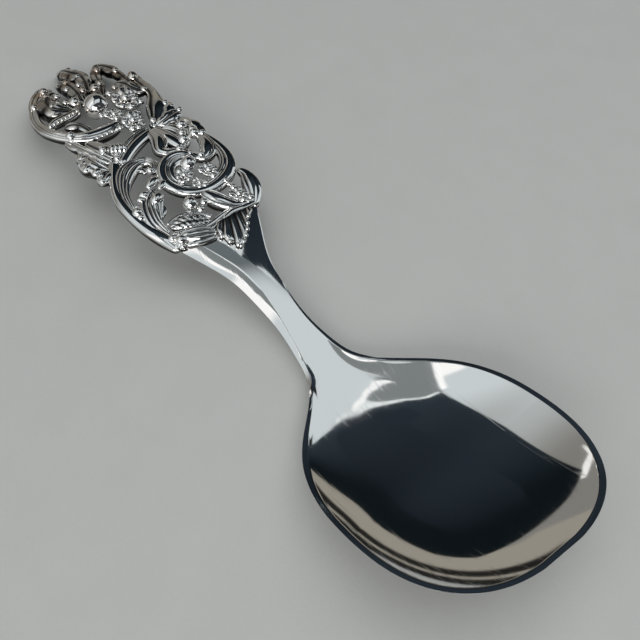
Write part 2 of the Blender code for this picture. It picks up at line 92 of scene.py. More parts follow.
@dataclass(frozen=True)
class SpoonForm:
    """The spoon's side profile, plan outline and bowl, as its solids have them.

    The profile is stations and heights, the outline is stations and half widths.
    """

    profile: tuple[Point, ...] = (
        (-6.0, -3.9), (15.0, 4.2), (30.0, 7.1), (45.0, 9.2), (60.0, 10.65), (72.0, 10.2), (85.0, 8.4),
        (97.0, 5.95), (109.0, 3.8), (121.0, 3.2), (131.0, 5.1), (154.0, 10.8), (182.0, 17.1),
    )
    outline: tuple[Point, ...] = (
        (79.5, 11.0), (85.0, 8.4), (92.0, 5.3), (100.0, 3.9), (108.0, 3.7), (115.0, 4.7), (121.0, 6.6),
        (126.0, 10.6), (131.0, 16.0), (136.0, 20.4), (142.0, 23.5), (148.0, 25.0), (154.0, 25.4),
    )
    front_length: float = 26.0
    front_power: float = 2.45
    bowl_depth: float = 6.5
    hollow_power: float = 2.4
    trough_start: float = 102.0
    trough_end: float = 150.0
    trough_power: float = 2.0
    bowl_wall: float = 1.3
    tip_trim: float = 0.15
    rest_flat: float = 0.15
    stem_station: float = 105.0
    stem_thickness: float = 3.0
    stem_crown: float = 0.9
    shoulder_thickness: float = 2.2
    neck_start: float = 108.0
    neck_end: float = 128.0
    work_drop: float = 0.4
    rest_steps: int = 400

    @property
    def shoulder(self) -> float:
        """Station where the blank starts."""
        return self.outline[0][0]

    @property
    def widest(self) -> float:
        """Station of the bowl's widest part."""
        return self.outline[-1][0]

    @property
    def tip(self) -> float:
        """Station of the bowl's front edge."""
        return self.widest + self.front_length - self.tip_trim

    def top(self, station: np.ndarray) -> np.ndarray:
        """Height of the side profile."""
        return smooth_through(self.profile, station)

    def half_width(self, station: np.ndarray) -> np.ndarray:
        """Reads the plan outline.

        Args:
            station: Stations of the points.

        Returns:
            The blank's half widths there.
        """
        share = np.clip((station - self.widest) / self.front_length, 0.0, 1.0)
        front = self.outline[-1][1] * (1 - share**self.front_power) ** (1 / self.front_power)
        return np.where(station < self.widest, smooth_through(self.outline, station), front)

    def hollow(self, station: np.ndarray, offset: np.ndarray) -> np.ndarray:
        """Sinks the trough that starts on the stem and opens into the bowl.

        Args:
            station: Stations of the points.
            offset: Their offsets.

        Returns:
            How deep the trough is there.
        """
        across = np.clip(np.abs(offset) / np.maximum(self.half_width(station), 0.01), 0.0, 1.0)
        power = self.trough_power + (self.hollow_power - self.trough_power) * self.neck_share(station)
        rear = eased(station, self.trough_start, self.trough_end) * (1 - across**power)
        along = np.clip((station - self.widest) / self.front_length, 0.0, 1.0)
        wide = np.abs(offset) / self.outline[-1][1]
        gauge = (along**self.front_power + wide**self.front_power) ** (1 / self.front_power)
        front = 1 - np.clip(gauge, 0.0, 1.0) ** self.hollow_power
        return self.bowl_depth * np.where(station < self.widest, rear, front)

    def neck_share(self, station: np.ndarray) -> np.ndarray:
        """0 on the stem, 1 on the bowl."""
        return eased(station, self.neck_start, self.neck_end)

    def height(self, station: np.ndarray, offset: np.ndarray) -> np.ndarray:
        """Shapes the blank's upper face: the profile, less the bowl's hollow, with the stem's crown.

        Args:
            station: Stations of the points.
            offset: Their offsets.

        Returns:
            The face's heights there.
        """
        across = offset / np.maximum(self.half_width(station), 0.01)
        crown = self.stem_crown * (1 - eased(station, self.shoulder, self.neck_start)) * (1 - across**2)
        return self.top(station) - self.hollow(station, offset) + crown

    def thickness(self, station: np.ndarray) -> np.ndarray:
        """Thins the blank from the stem to the shoulder and to the bowl.

        Args:
            station: Stations of the points.

        Returns:
            The blank's thickness there.
        """
        flare = np.clip((self.stem_station - station) / (self.stem_station - self.shoulder), 0.0, 1.0)
        stem = self.stem_thickness + (self.shoulder_thickness - self.stem_thickness) * flare
        return stem + (self.bowl_wall - stem) * self.neck_share(station)

    def origin(self) -> np.ndarray:
        """Finds the ground under the bowl's lowest point.

        Returns:
            The point of the spoon that lies at the origin.
        """
        steps = np.arange(self.rest_steps) / self.rest_steps
        stations = self.neck_start + (self.widest - self.neck_start) * steps
        under = self.height(stations, np.zeros(self.rest_steps)) - self.thickness(stations)
        lowest = int(np.argmin(under))
        return np.array((stations[lowest], 0.0, under[lowest] + self.rest_flat))

    def work_level(self, station: float) -> float:
        """Height of the openwork's middle."""
        return self.top(np.full(1, station))[0] - self.work_drop

    def place(self, station: np.ndarray, offset: np.ndarray, height: np.ndarray) -> np.ndarray:
        """Points of the spoon in metres, in the frame of its solids."""
        return (np.column_stack((station, offset, height)) - self.origin()) * MM


FORM = SpoonForm()


class Wire:
    """A node's output, with the arithmetic that shader maths is written in."""

    def __init__(self, graph: "Graph", socket: bpy.types.NodeSocket) -> None:
        """Keeps the socket and the graph that it is in."""
        self.graph = graph
        self.socket = socket

    def __add__(self, other: Any) -> "Wire":
        """Sum with a value or another wire."""
        return self.graph.maths("ADD", self, other)

    def __sub__(self, other: Any) -> "Wire":
        """Difference from a value or another wire."""
        return self.graph.maths("SUBTRACT", self, other)

    def __rsub__(self, other: Any) -> "Wire":
        """A value less this wire."""
        return self.graph.maths("SUBTRACT", other, self)

    def __mul__(self, other: Any) -> "Wire":
        """Product with a value or another wire."""
        return self.graph.maths("MULTIPLY", self, other)

    __radd__ = __add__
    __rmul__ = __mul__


class Graph:
    """The node tree of a material or of the world."""

    def __init__(self, owner: bpy.types.Material | bpy.types.World) -> None:
        """Empties the owner's node tree.

        Args:
            owner: The material or world.
        """
        owner.use_nodes = True
        self.tree = owner.node_tree
        self.tree.nodes.clear()

    def node(
        self, kind: str, settings: dict | None = None, inputs: dict | None = None, out: str | int = 0
    ) -> Wire | None:
        """Adds a node.

        Args:
            kind: The node's type.
            settings: Its own settings.
            inputs: Values or wires for its sockets, by name or place.
            out: The output that is wanted, by name or place.

        Returns:
            That output, or None from a node that has no outputs.
        """
        made = self.tree.nodes.new(kind)
        for name, value in (settings or {}).items():
            setattr(made, name, value)
        for name, value in (inputs or {}).items():
            socket = made.inputs[name]
            if isinstance(value, Wire):
                self.tree.links.new(value.socket, socket)
            else:
                socket.default_value = value
        return Wire(self, made.outputs[out]) if made.outputs else None

    def maths(self, operation: str, first: Any, second: Any) -> Wire:
        """A Math node on two values or wires."""
        return self.node("ShaderNodeMath", {"operation": operation}, {0: first, 1: second})

    def blend(self, share: Any, first: Any, second: Any) -> Wire:
        """A mix of two colours."""
        settings = {"data_type": "RGBA", "clamp_factor": True}
        return self.node("ShaderNodeMix", settings, {0: share, 6: first, 7: second}, out=2)

    def between(self, value: Wire, none: float, full: float) -> Wire:
        """Eases from 0 to 1, up or down a value.

        Args:
            value: The wire to read.
            none: Its value where the step is 0.
            full: Its value where the step is 1, which may be the lower of the two.

        Returns:
            The step.
        """
        settings = {"interpolation_type": "SMOOTHSTEP"}
        inputs = {"Value": value, "From Min": none, "From Max": full}
        return self.node("ShaderNodeMapRange", settings, inputs)

    def noise(self, vector: Wire, scale: float, detail: float) -> Wire:
        """A noise of about 0 to 1."""
        return self.node("ShaderNodeTexNoise", None, {"Vector": vector, "Scale": scale, "Detail": detail})

    def principled(self, inputs: dict) -> None:
        """Ends a material in a Principled shader."""
        shader = self.node("ShaderNodeBsdfPrincipled", None, inputs)
        self.node("ShaderNodeOutputMaterial", None, {"Surface": shader})


class Slot(Enum):
    """The record's material slots."""

    POLISHED = "polished_silver"
    TONED = "toned_silver"


@dataclass(frozen=True)
class SilverFinish:
    """Polished silver, darker where the recess attribute says: patina with painted shade in hollows, painted
    shade on sides and undersides; warmer towards the tail.
    """

    slot: Slot
    bright: Point = (0.93, 0.925, 0.91)
    # The colour that the patina and the painted shade go to.
    dark: Point = (0.035, 0.034, 0.032)
    warm: Point = (0.52, 0.40, 0.31)
    roughness: float = 0.06
    recess_roughness: float = 0.25
    warm_start: float = -0.088
    warm_end: float = -0.118
    warm_share: float = 0.9
    warm_patches: Point = (0.35, 0.65)
    cloud_scale: float = 260.0
    cloud_share: float = 0.35
    recess_range: Point = (0.30, 0.95)
    smudge_scale: float = 90.0
    smudge_share: float = 0.05
    hairline_depth: float = 0.0
    hairline_turns: Point = (0.6, 1.1, 2.3)
    hairline_scale: Point = (60.0, 2600.0, 60.0)
    hairline_range: Point = (0.66, 0.72)
    hairline_strength: float = 0.3

    def material(self) -> bpy.types.Material:
        """Builds the material.

        Returns:
            The material, which reads the pieces' recess attribute and Object coordinates.
        """
        made = bpy.data.materials.new(self.slot.value)
        graph = Graph(made)
        place = graph.node("ShaderNodeTexCoord", out="Object")
        along = graph.node("ShaderNodeSeparateXYZ", None, {0: place}, out="X")
        recess = graph.node("ShaderNodeAttribute", {"attribute_name": "recess"}, out="Fac")
        cloud = graph.noise(place, self.cloud_scale, 3.0)
        smudge = graph.noise(place, self.smudge_scale, 4.0)
        tail = graph.between(along, self.warm_start, self.warm_end) * self.warm_share
        patches = tail * graph.between(cloud, *self.warm_patches)
        metal = graph.blend(patches, (*self.bright, 1), (*self.warm, 1))
        # Patina with painted shade in the hollows, and painted shade on sides, undersides and between parts,
        # made uneven by the cloud.
        depth = graph.between(recess + (cloud - 0.5) * self.cloud_share, *self.recess_range)
        colour = graph.blend(depth, metal, (*self.dark, 1))
        even = self.roughness - self.smudge_share / 2
        rough = depth * self.recess_roughness + smudge * self.smudge_share + even
        inputs = {"Base Color": colour, "Metallic": 1.0, "Roughness": rough}
        if self.hairline_depth:
            inputs["Normal"] = self.hairlines(graph, place)
        graph.principled(inputs)
        return made

    def hairlines(self, graph: Graph, place: Wire) -> Wire:
        """Draws fine scratches from use, in a few directions across the bowl.

        Args:
            graph: The material's graph.
            place: Object coordinates.

        Returns:
            The bumped normal.
        """
        lines: Any = 0.0
        for turn in self.hairline_turns:
            inputs = {"Vector": place, "Rotation": (0, 0, turn), "Scale": self.hairline_scale}
            turned = graph.node("ShaderNodeMapping", {"vector_type": "POINT"}, inputs)
            lines = lines + graph.between(graph.noise(turned, 1.0, 1.0), *self.hairline_range)
        depth = self.hairline_depth * MM
        inputs = {"Height": lines, "Strength": self.hairline_strength, "Distance": depth}
        return graph.node("ShaderNodeBump", None, inputs)


MIRROR_SILVER = SilverFinish(Slot.POLISHED, roughness=0.05, hairline_depth=0.003)
CHASED_SILVER = SilverFinish(Slot.TONED)


@dataclass(frozen=True)
class StoneFinish:
    """Pale grey floor with a faint mottle."""

    light: Point = (0.50, 0.50, 0.485)
    dim: Point = (0.44, 0.44, 0.425)
    roughness: float = 0.65
    mottle_scale: float = 90.0
    grain_scale: float = 1400.0
    grain_share: float = 0.4
    grain_depth: float = 0.2
    grain_strength: float = 0.15

    def material(self) -> bpy.types.Material:
        """Builds the floor's material.

        Returns:
            The material, which reads Object coordinates.
        """
        made = bpy.data.materials.new("pale_stone")
        graph = Graph(made)
        place = graph.node("ShaderNodeTexCoord", out="Object")
        mottle = graph.noise(place, self.mottle_scale, 6.0)
        grain = graph.noise(place, self.grain_scale, 2.0)
        share = mottle * (1 - self.grain_share) + grain * self.grain_share
        colour = graph.blend(share, (*self.dim, 1), (*self.light, 1))
        depth = self.grain_depth * MM
        inputs = {"Height": grain, "Strength": self.grain_strength, "Distance": depth}
        bump = graph.node("ShaderNodeBump", None, inputs)
        inputs = {"Base Color": colour, "Roughness": self.roughness, "Normal": bump}
        graph.principled(inputs)
        return made


def deselect() -> None:
    """Deselects everything, so that an operator acts on new work alone."""
    bpy.ops.object.select_all(action="DESELECT")


def points_of(obj: bpy.types.Object) -> np.ndarray:
    """Reads a mesh.

    Args:
        obj: The mesh's object.

    Returns:
        Its vertices, a row each.
    """
    flat = np.empty(len(obj.data.vertices) * 3)
    obj.data.vertices.foreach_get("co", flat)
    return flat.reshape(-1, 3)


def shape(obj: bpy.types.Object, places: np.ndarray, recess: np.ndarray) -> None:
    """Moves the vertices to their places and keeps how dark each is painted, as patina and painted shade.

    None goes below the ground.

    Args:
        obj: The mesh.
        places: The vertices' places in metres.
        recess: How dark each is painted, from 0 on open silver to 1: patina with painted shade in hollows,
            painted shade on sides and undersides.
    """
    places[:, 2] = np.maximum(places[:, 2], 0.0)
    obj.data.vertices.foreach_set("co", places.ravel())
    kept = obj.data.attributes.new("recess", "FLOAT", "POINT")
    kept.data.foreach_set("value", np.clip(recess, 0.0, 1.0))
    obj.data.update()


def close(obj: bpy.types.Object) -> bpy.types.Object:
    """Welds the seams and poles of a shape, turns its faces outwards and smooths it.

    Args:
        obj: The shape.

    Returns:
        The same object.
    """
    deselect()
    obj.select_set(True)
    bpy.context.view_layer.objects.active = obj
    bpy.ops.object.mode_set(mode="EDIT")
    bpy.ops.mesh.select_all(action="SELECT")
    bpy.ops.mesh.remove_doubles(threshold=WELD)
    bpy.ops.mesh.normals_make_consistent(inside=False)
    bpy.ops.object.mode_set(mode="OBJECT")
    bpy.ops.object.shade_smooth()
    return obj


def grid(rows: int, columns: int) -> tuple[bpy.types.Object, np.ndarray, np.ndarray]:
    """Adds a grid to shape.

    Args:
        rows: Faces along it.
        columns: Faces across it.

    Returns:
        The object, and its vertices' shares along and across.
    """
    deselect()
    bpy.ops.mesh.primitive_grid_add(x_subdivisions=rows, y_subdivisions=columns, size=2)
    obj = bpy.context.object
    share = (points_of(obj) + 1) / 2
    return obj, share[:, 0], share[:, 1]


def slab(rows: int, columns: int) -> tuple[bpy.types.Object, np.ndarray, np.ndarray, np.ndarray]:
    """Adds a closed grid with an upper and a lower face to shape.

    Args:
        rows: Faces along it.
        columns: Faces across it.

    Returns:
        The object, its vertices' shares along and across, and which of them are on its upper face.
    """
    obj, _, _ = grid(rows, columns)
    wall = obj.modifiers.new("wall", "SOLIDIFY")
    wall.thickness = 0.5
    wall.offset = 0.0
    bpy.ops.object.modifier_apply(modifier="wall")
    points = points_of(obj)
    share = np.clip((points + 1) / 2, 0.0, 1.0)
    return obj, share[:, 0], share[:, 1], points[:, 2] > 0


def ball(segments: int, rings: int) -> tuple[bpy.types.Object, np.ndarray]:
    """Adds a sphere of radius 1 to shape.

    Args:
        segments: Faces round it.
        rings: Faces from pole to pole.

    Returns:
        The object and its vertices.
    """
    deselect()
    bpy.ops.mesh.primitive_uv_sphere_add(segments=segments, ring_count=rings, radius=1)
    obj = bpy.context.object
    return obj, points_of(obj)


def swung(along: np.ndarray, across: np.ndarray, angle: float) -> tuple[np.ndarray, np.ndarray]:
    """Turns a small shape about its middle, in plan.

    Args:
        along: Distances along the shape.
        across: Distances across it, to its left.
        angle: Its direction in radians, from the bowl round to the left.

    Returns:
        Stations and offsets from its middle.
    """
    cosine, sine = math.cos(angle), math.sin(angle)
    return along * cosine - across * sine, along * sine + across * cosine


def joined(name: str, pieces: list[bpy.types.Object]) -> bpy.types.Object:
    """Joins closed shapes into one piece.

    Args:
        name: The piece's name.
        pieces: The shapes.

    Returns:
        The piece.
    """
    deselect()
    for piece in pieces:
        piece.select_set(True)
    bpy.context.view_layer.objects.active = pieces[0]
    if len(pieces) > 1:
        bpy.ops.object.join()
    piece = bpy.context.view_layer.objects.active
    piece.name = piece.data.name = name
    return piece


@dataclass
class ForgedBlank:
    """Bowl, stem and plain shoulder, forged in one.

    An edge is stations, and how wide, how deep and how round its bevel is at each of them.
    """

    rows: int = 300
    columns: int = 112
    right_edge: tuple[Point, ...] = (
        (98.0, 2.9, 1.0, 1.15), (109.0, 1.4, 0.75, 1.15), (116.0, 1.2, 0.77, 1.1), (120.0, 0.95, 0.88, 1.1),
        (124.0, 0.62, 0.72, 1.1), (128.0, 0.9, 0.58, 1.1), (134.0, 1.2, 0.52, 1.1),
        (140.0, 1.25, 0.44, 1.1), (146.0, 1.2, 0.49, 1.1), (164.0, 1.15, 0.55, 1.1),
        (170.0, 1.15, 0.48, 1.1), (178.0, 1.15, 0.45, 1.1),
    )
    left_edge: tuple[Point, ...] = (
        (98.0, 0.3, 0.03, 1.3), (116.0, 1.0, 0.55, 1.2), (120.0, 0.9, 0.65, 1.1), (128.0, 0.75, 0.65, 1.1),
        (134.0, 0.9, 0.65, 1.1), (146.0, 1.1, 0.6, 1.1), (170.0, 1.1, 0.6, 1.1), (175.0, 1.15, 0.41, 1.1),
        (178.0, 1.15, 0.45, 1.1),
    )
    trim: float = 0.03
    outline_steps: int = 700
    finish: SilverFinish = MIRROR_SILVER

    def edge_distance(self, station: np.ndarray, offset: np.ndarray) -> np.ndarray:
        """Distance in plan to the blank's outline.

        Args:
            station: Stations of the points.
            offset: Their offsets.

        Returns:
            Their distances.
        """
        along = np.linspace(FORM.shoulder, FORM.tip, self.outline_steps)
        wide = FORM.half_width(along)
        corners = np.concatenate((np.column_stack((along, wide)), np.column_stack((along, -wide))[::-1]))
        runs = np.roll(corners, -1, axis=0) - corners
        lengths = np.maximum((runs**2).sum(1), 1e-12)
        nearest = np.full(len(station), np.inf)
        for (x, y), (dx, dy), length in zip(corners, runs, lengths):
            t = np.clip(((station - x) * dx + (offset - y) * dy) / length, 0.0, 1.0)
            nearest = np.minimum(nearest, np.hypot(station - x - t * dx, offset - y - t * dy))
        return nearest

    def bevel(self, station: np.ndarray, offset: np.ndarray) -> list[np.ndarray]:
        """Reads the bevel of the nearer edge.

        Args:
            station: Stations of the points.
            offset: Their offsets.

        Returns:
            How wide, how deep and how round it is there.
        """
        right, left = (np.array(edge).T for edge in (self.right_edge, self.left_edge))
        sides = [[np.interp(station, edge[0], row) for row in edge[1:]] for edge in (right, left)]
        return [np.where(offset < 0, one, other) for one, other in zip(*sides)]

    def build(self) -> bpy.types.Object:
        """Lays a slab along the outline, hollows it and bevels its edge.

        Returns:
            The blank.
        """
        obj, along, across, upper = slab(self.rows, self.columns)
        station = FORM.shoulder + (FORM.tip - self.trim - FORM.shoulder) * np.sin(along * math.pi / 2)
        offset = np.sin((across - 0.5) * math.pi) * (FORM.half_width(station) - self.trim)
        edge = self.edge_distance(station, offset)
        height = FORM.height(station, offset)
        thickness = FORM.thickness(station)
        width, drop, power = self.bevel(station, offset)
        roll = np.clip(1 - edge / width, 0.0, 1.0) ** power
        drop = np.minimum(drop, thickness / 2)
        top = height - drop * roll
        under = height - thickness + (thickness - drop) * roll
        places = FORM.place(station, offset, np.where(upper, top, under))
        shape(obj, places, np.zeros(len(station)))
        obj.name = obj.data.name = "bowl_and_stem_silver"
        return close(obj)

    def dress(self, piece: bpy.types.Object) -> None:
        """Gives the blank its finish and its place in the model."""
        settle(piece, self.finish, "bowl_and_stem")


FINISHES: dict[SilverFinish, bpy.types.Material] = {}


def settle(piece: bpy.types.Object, finish: SilverFinish, node: str) -> None:
    """Dresses a piece and lets it stand for its solid.

    Args:
        piece: The finished mesh.
        finish: Its silver.
        node: The solid that it replaces.
    """
    if finish not in FINISHES:
        FINISHES[finish] = finish.material()
    piece.data.materials.clear()
    piece.data.materials.append(FINISHES[finish])
    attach(piece, "root")
    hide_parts(node)
    LOG.info("%s: %d faces", piece.name, len(piece.data.polygons))


class Reeding(Enum):
    """How a member's width is shared out among its reeds, from the right of its run to the left."""

    PLAIN = (1.0,)
    PAIR = (1.0, 1.0)
    LEFT_LINE = (1.5, 0.4)
    RIGHT_LINE = (0.4, 1.5)
    LEFT_LINES = (1.4, 0.45, 0.4)
    RIGHT_LINES = (0.4, 0.45, 1.4)
    BORDERED = (0.4, 1.4, 0.4)
    FLUTED = (0.9, 1.0, 0.9)
    FINE = (0.8, 0.7, 0.8, 1.1)


class Seat(Enum):
    """What a member's height is measured from."""

    WORK = "work"
    BLANK = "blank"


@dataclass
class Member:
    """A swept scroll or leaf, reeded along its length.

    The route is stations, offsets and half widths. Crown, base and groove are shares of the half width,
    tips are extra lifts of its two ends, and cut is how deep the lobes of its edge are. Cells are rows
    of seeds in place of reeds. The darks say how dark its valleys, notches, edges and underside are
    painted: patina with painted shade in the valleys and notches, painted shade on the edges and
    underside. Tone darkens the whole member.
    """

    route: Route
    reeding: Reeding = Reeding.PLAIN
    groove: float = 0.32
    crown: float = 0.65
    flat: float = 0.42
    base: float = 0.9
    lobes: float = 0.0
    cut: float = 0.3
    cells: float = 0.0
    lift: float = 0.0
    tips: Point = (0.0, 0.0)
    tone: float = 0.0
    seat: Seat = Seat.WORK
    fullness: float = 1.16
    pitch: float = 0.22
    columns: int = 64
    top_share: float = 0.7
    full_reed: float = 0.6
    lobe_power: float = 0.6
    pit_depth: float = 0.35
    # How dark each part is painted: patina with painted shade in valleys and notches, painted shade on edges
    # and underside.
    valley_dark: float = 1.6
    notch_dark: float = 0.8
    edge_shade: float = 0.9
    under_shade: float = 0.9

    def spine(self, at: np.ndarray, line: np.ndarray) -> tuple[np.ndarray, np.ndarray]:
        """Reads the route.

        Args:
            at: Distances along it.
            line: Distances, stations, offsets and half widths of its knots.

        Returns:
            The points of its middle line, and the half widths there.
        """
        middle = smooth_through(line, at)
        share = at / line[-1, 0]
        lift = self.lift + self.tips[0] * eased(share, 0.4, 0.0) + self.tips[1] * eased(share, 0.6, 1.0)
        level = FORM.top(middle[:, 0]) - FORM.work_drop
        if self.seat is Seat.BLANK:
            level = FORM.height(middle[:, 0], middle[:, 1])
        return np.column_stack((middle[:, :2], level + lift)), middle[:, 2]

    def reeds(self, across: np.ndarray) -> tuple[np.ndarray, np.ndarray]:
        """Shares the width out among the reeds.

        Args:
            across: Places across the member, from -1 to 1.

        Returns:
            How far each place drops below the reeds' tops, and how deep it lies between two reeds.
        """
        bounds = np.cumsum((0.0, *self.reeding.value))
        bounds = bounds / bounds[-1] * 2 - 1
        index = np.clip(np.searchsorted(bounds, across) - 1, 0, len(bounds) - 2)
        width = np.diff(bounds)[index]
        local = np.clip((across - bounds[index]) / width, 0.0, 1.0)
        valley = 1 - np.sqrt(4 * local * (1 - local))
        nearest = np.where(local < 0.5, bounds[index], bounds[index + 1])
        drop = valley * self.groove * np.minimum(1.0, width / self.full_reed)
        return drop, np.where(np.abs(nearest) < 0.99, valley, 0.0)

    def section(self, turn: np.ndarray, share: np.ndarray) -> tuple[np.ndarray, np.ndarray, np.ndarray]:
        """Shapes the section.

        Args:
            turn: Shares of the way round it.
            share: Shares of the way along the member.

        Returns:
            Places across and up, for a half width of one, and how dark each is painted as patina and painted
            shade.
        """
        upper = turn <= self.top_share
        over = math.pi * turn / self.top_share
        under = math.pi * (turn - self.top_share) / (1 - self.top_share)
        angle = np.where(upper, over, math.pi + under)
        across, arch = np.cos(angle), np.abs(np.sin(angle))
        drop, between = self.reeds(across)
        notch = np.zeros_like(turn)
        if self.lobes:
            lobe = np.abs(np.sin(math.pi * self.lobes * share)) ** self.lobe_power
            notch = (1 - lobe) * np.abs(across)
        if self.cells:
            slant = np.sin(math.pi * self.cells * share + 3 * across)
            pits = 1 - np.sqrt(np.abs(slant * np.sin(3.5 * across - 1)))
            drop, between = self.pit_depth * pits, pits * arch
        top = self.crown * (arch**self.flat - drop) * (1 - 0.5 * self.cut * notch)
        up = np.where(upper, top, -self.base * arch**0.6)
        # Patina with painted shade in the valleys between reeds and in the notches between lobes.
        sunk = np.clip(self.valley_dark * between**1.5, 0.0, 1.0) + self.notch_dark * notch
        # Painted shade on the section's sides, near its edges.
        sunk = sunk + self.edge_shade * np.clip(1 - 2.2 * arch, 0.0, 1.0)
        # Painted shade on the whole underside; tone darkens the whole member.
        return across * (1 - self.cut * notch), up, np.where(upper, sunk, self.under_shade) + self.tone

    def build(self) -> bpy.types.Object:
        """Rolls a grid round the route.

        Returns:
            The member, closed at both ends.
        """
        knots = np.asarray(self.route, float)
        steps = np.cumsum(np.hypot(*np.diff(knots[:, :2], axis=0, prepend=knots[:1, :2]).T))
        line = np.column_stack((steps, knots))
        length = steps[-1]
        obj, along, turn = grid(max(16, int(length / self.pitch)), self.columns)
        share = along - 0.6 * np.sin(2 * math.pi * along) / (2 * math.pi)
        at = share * length
        middle, width = self.spine(at, line)
        heading = self.spine(at + 0.02, line)[0] - self.spine(at - 0.02, line)[0]
        heading /= np.linalg.norm(heading, axis=1)[:, None]
        side = np.column_stack((-heading[:, 1], heading[:, 0], np.zeros(len(at))))
        side /= np.linalg.norm(side, axis=1)[:, None]
        above = np.cross(heading, side)
        rim = np.clip(np.minimum(at, length - at) / np.maximum(width, 0.05), 0.0, 1.0)
        width = width * self.fullness * np.sqrt(1 - (1 - rim) ** 2)
        across, up, recess = self.section(turn, share)
        places = middle + side * (across * width)[:, None] + above * (up * width)[:, None]
        shape(obj, FORM.place(*places.T), recess)
        return close(obj)


@dataclass
class Bead:
    """A bead, bud or boss; long stretches it along its turn, ribs are ridges across it."""

    station: float
    offset: float
    radius: float
    lift: float = 0.6
    long: float = 1.0
    turn: float = 0.0
    flat: float = 1.0
    ribs: float = 0.0
    rib_depth: float = 0.22
    large: float = 1.5

    def build(self) -> bpy.types.Object:
        """Shapes a sphere.

        Returns:
            The bead.
        """
        fine = 2 if self.radius > self.large else 1
        obj, ball_points = ball(24 * fine, 16 * fine)
        x, y, z = ball_points.T
        valley = np.zeros(len(x))
        if self.ribs:
            valley = np.abs(np.cos(math.pi * self.ribs * x)) ** 3
        swell = self.radius * (1 - self.rib_depth * valley)
        station, offset = swung(x * self.radius * self.long, y * swell, math.radians(self.turn))
        height = FORM.work_level(self.station) + self.lift + z * swell * self.flat
        # Painted shade on the lower half, and patina with painted shade in the rib valleys.
        recess = np.clip(-0.1 - 1.2 * z, 0.0, 0.9) + 0.8 * valley
        shape(obj, FORM.place(self.station + station, self.offset + offset, height), recess)
        return close(obj)


@dataclass
class Rosette:
    """A flower of full, rounded petals, each with a crease, round a raised heart.

    From largest on, the sizes are shares of its radius or of a petal.
    """

    station: float
    offset: float
    radius: float
    petals: int = 5
    lift: float = 0.6
    turn: float = 10.0
    largest: float = 1.08
    uneven: float = 0.3
    middle: float = 0.58
    half_length: float = 0.48
    spread: float = 2.5
    flare: float = 0.3
    thick: float = 0.34
    rise: float = 0.14
    crease: float = 0.2
    crease_width: float = 0.2
    heart: float = 0.3
    heart_lift: float = 0.22

    def petal(self, angle: float) -> bpy.types.Object:
        """Shapes one petal.

        Args:
            angle: Its direction in radians.

        Returns:
            The petal.
        """
        obj, ball_points = ball(24, 16)
        x, y, z = ball_points.T
        size = self.radius * (self.largest - self.uneven * math.sin(1.5 * angle + self.station) ** 2)
        fold = np.where(z > 0, np.exp(-((y / self.crease_width) ** 2)) * (1 - x**2), 0.0)
        out = size * (self.middle + self.half_length * x)
        across = size * self.spread / self.petals * y * (1 + self.flare * x)
        station, offset = swung(out, across, angle)
        level = FORM.work_level(self.station) + self.lift
        height = level + size * (self.thick * z + self.rise * x - self.crease * fold)
        # Patina with painted shade in the crease, painted shade underneath and at the petal's inner end by
        # the heart.
        recess = np.clip(0.8 * fold + 0.9 * (z < -0.15) + 0.7 * (x < -0.5), 0.0, 0.95)
        shape(obj, FORM.place(self.station + station, self.offset + offset, height), recess)
        return close(obj)

    def build(self) -> bpy.types.Object:
        """Shapes the petals and the heart.

        Returns:
            The flower.
        """
        turns = [math.radians(self.turn + 360 * i / self.petals) for i in range(self.petals)]
        parts = [self.petal(angle) for angle in turns]
        heart_lift = self.lift + self.heart_lift * self.radius
        heart = Bead(self.station, self.offset, self.heart * self.radius, heart_lift)
        return joined("rosette", [*parts, heart.build()])


@dataclass
class Palmette:
    """A shell that spreads from a root over the blank, in ribs that end in curled scallops.

    The root is its two ends, the edge is stations and offsets along the scallops.
    """

    root: tuple[Point, Point]
    edge: tuple[Point, ...]
    ribs: int = 6
    lift: float = 0.5
    swell: float = 0.7
    curl: float = 0.45
    scallop: float = 0.14
    rib_power: float = 0.7
    under_lift: float = 0.1
    rows: int = 48
    columns: int = 120

    def build(self) -> bpy.types.Object:
        """Spreads a slab from the root to the edge and raises its ribs.

        Returns:
            The shell.
        """
        obj, out, round_share, upper = slab(self.rows, self.columns)
        valley = 1 - np.abs(np.sin(math.pi * self.ribs * round_share)) ** self.rib_power
        start, end = (np.array(point) for point in self.root)
        knots = np.column_stack((np.linspace(0, 1, len(self.edge)), self.edge))
        foot = start + (end - start) * round_share[:, None]
        reach = out * (1 - self.scallop * valley * out**3)
        plan = foot + (smooth_through(knots, round_share) - foot) * reach[:, None]
        bed = FORM.height(*plan.T)
        rib = self.swell * np.sqrt(out) * (1 - valley) * (1 - 0.5 * out**8)
        top = bed + self.lift + rib + self.curl * out**5 * (1 - out**12)
        height = np.where(upper, top, bed + self.under_lift)
        shape(obj, FORM.place(*plan.T, height), self.recess(out, valley, upper))
        return close(obj)

    @staticmethod
    def recess(out: np.ndarray, valley: np.ndarray, upper: np.ndarray) -> np.ndarray:
        """How dark the shell is painted: patina with painted shade in its valleys, painted shade near its
        root and underneath.
        """
        return np.where(upper, 1.1 * valley**1.3 + 0.75 * (1 - out) ** 1.5, 0.9)


Casting = Member | Bead | Rosette | Palmette
Shapes = dict[str, list[Casting]]


@dataclass
class Openwork:
    """A group of the handle's castings."""

    finish: SilverFinish = CHASED_SILVER
    bright: SilverFinish = MIRROR_SILVER
    polished: tuple[str, ...] = ()

    def castings(self) -> Shapes:
        """The shapes of each piece, by the name of its solid: none until a group has its own."""
        return {}

    def build(self) -> dict[str, bpy.types.Object]:
        """Makes the pieces.

        Returns:
            The pieces, by the names of their solids.
        """
        made = {}
        for node, shapes in self.castings().items():
            made[node] = joined(node + "_silver", [one.build() for one in shapes])
        return made

    def dress(self, pieces: dict[str, bpy.types.Object]) -> None:
        """Gives the pieces their finish and their places in the model."""
        for node, piece in pieces.items():
            settle(piece, self.bright if node in self.polished else self.finish, node)


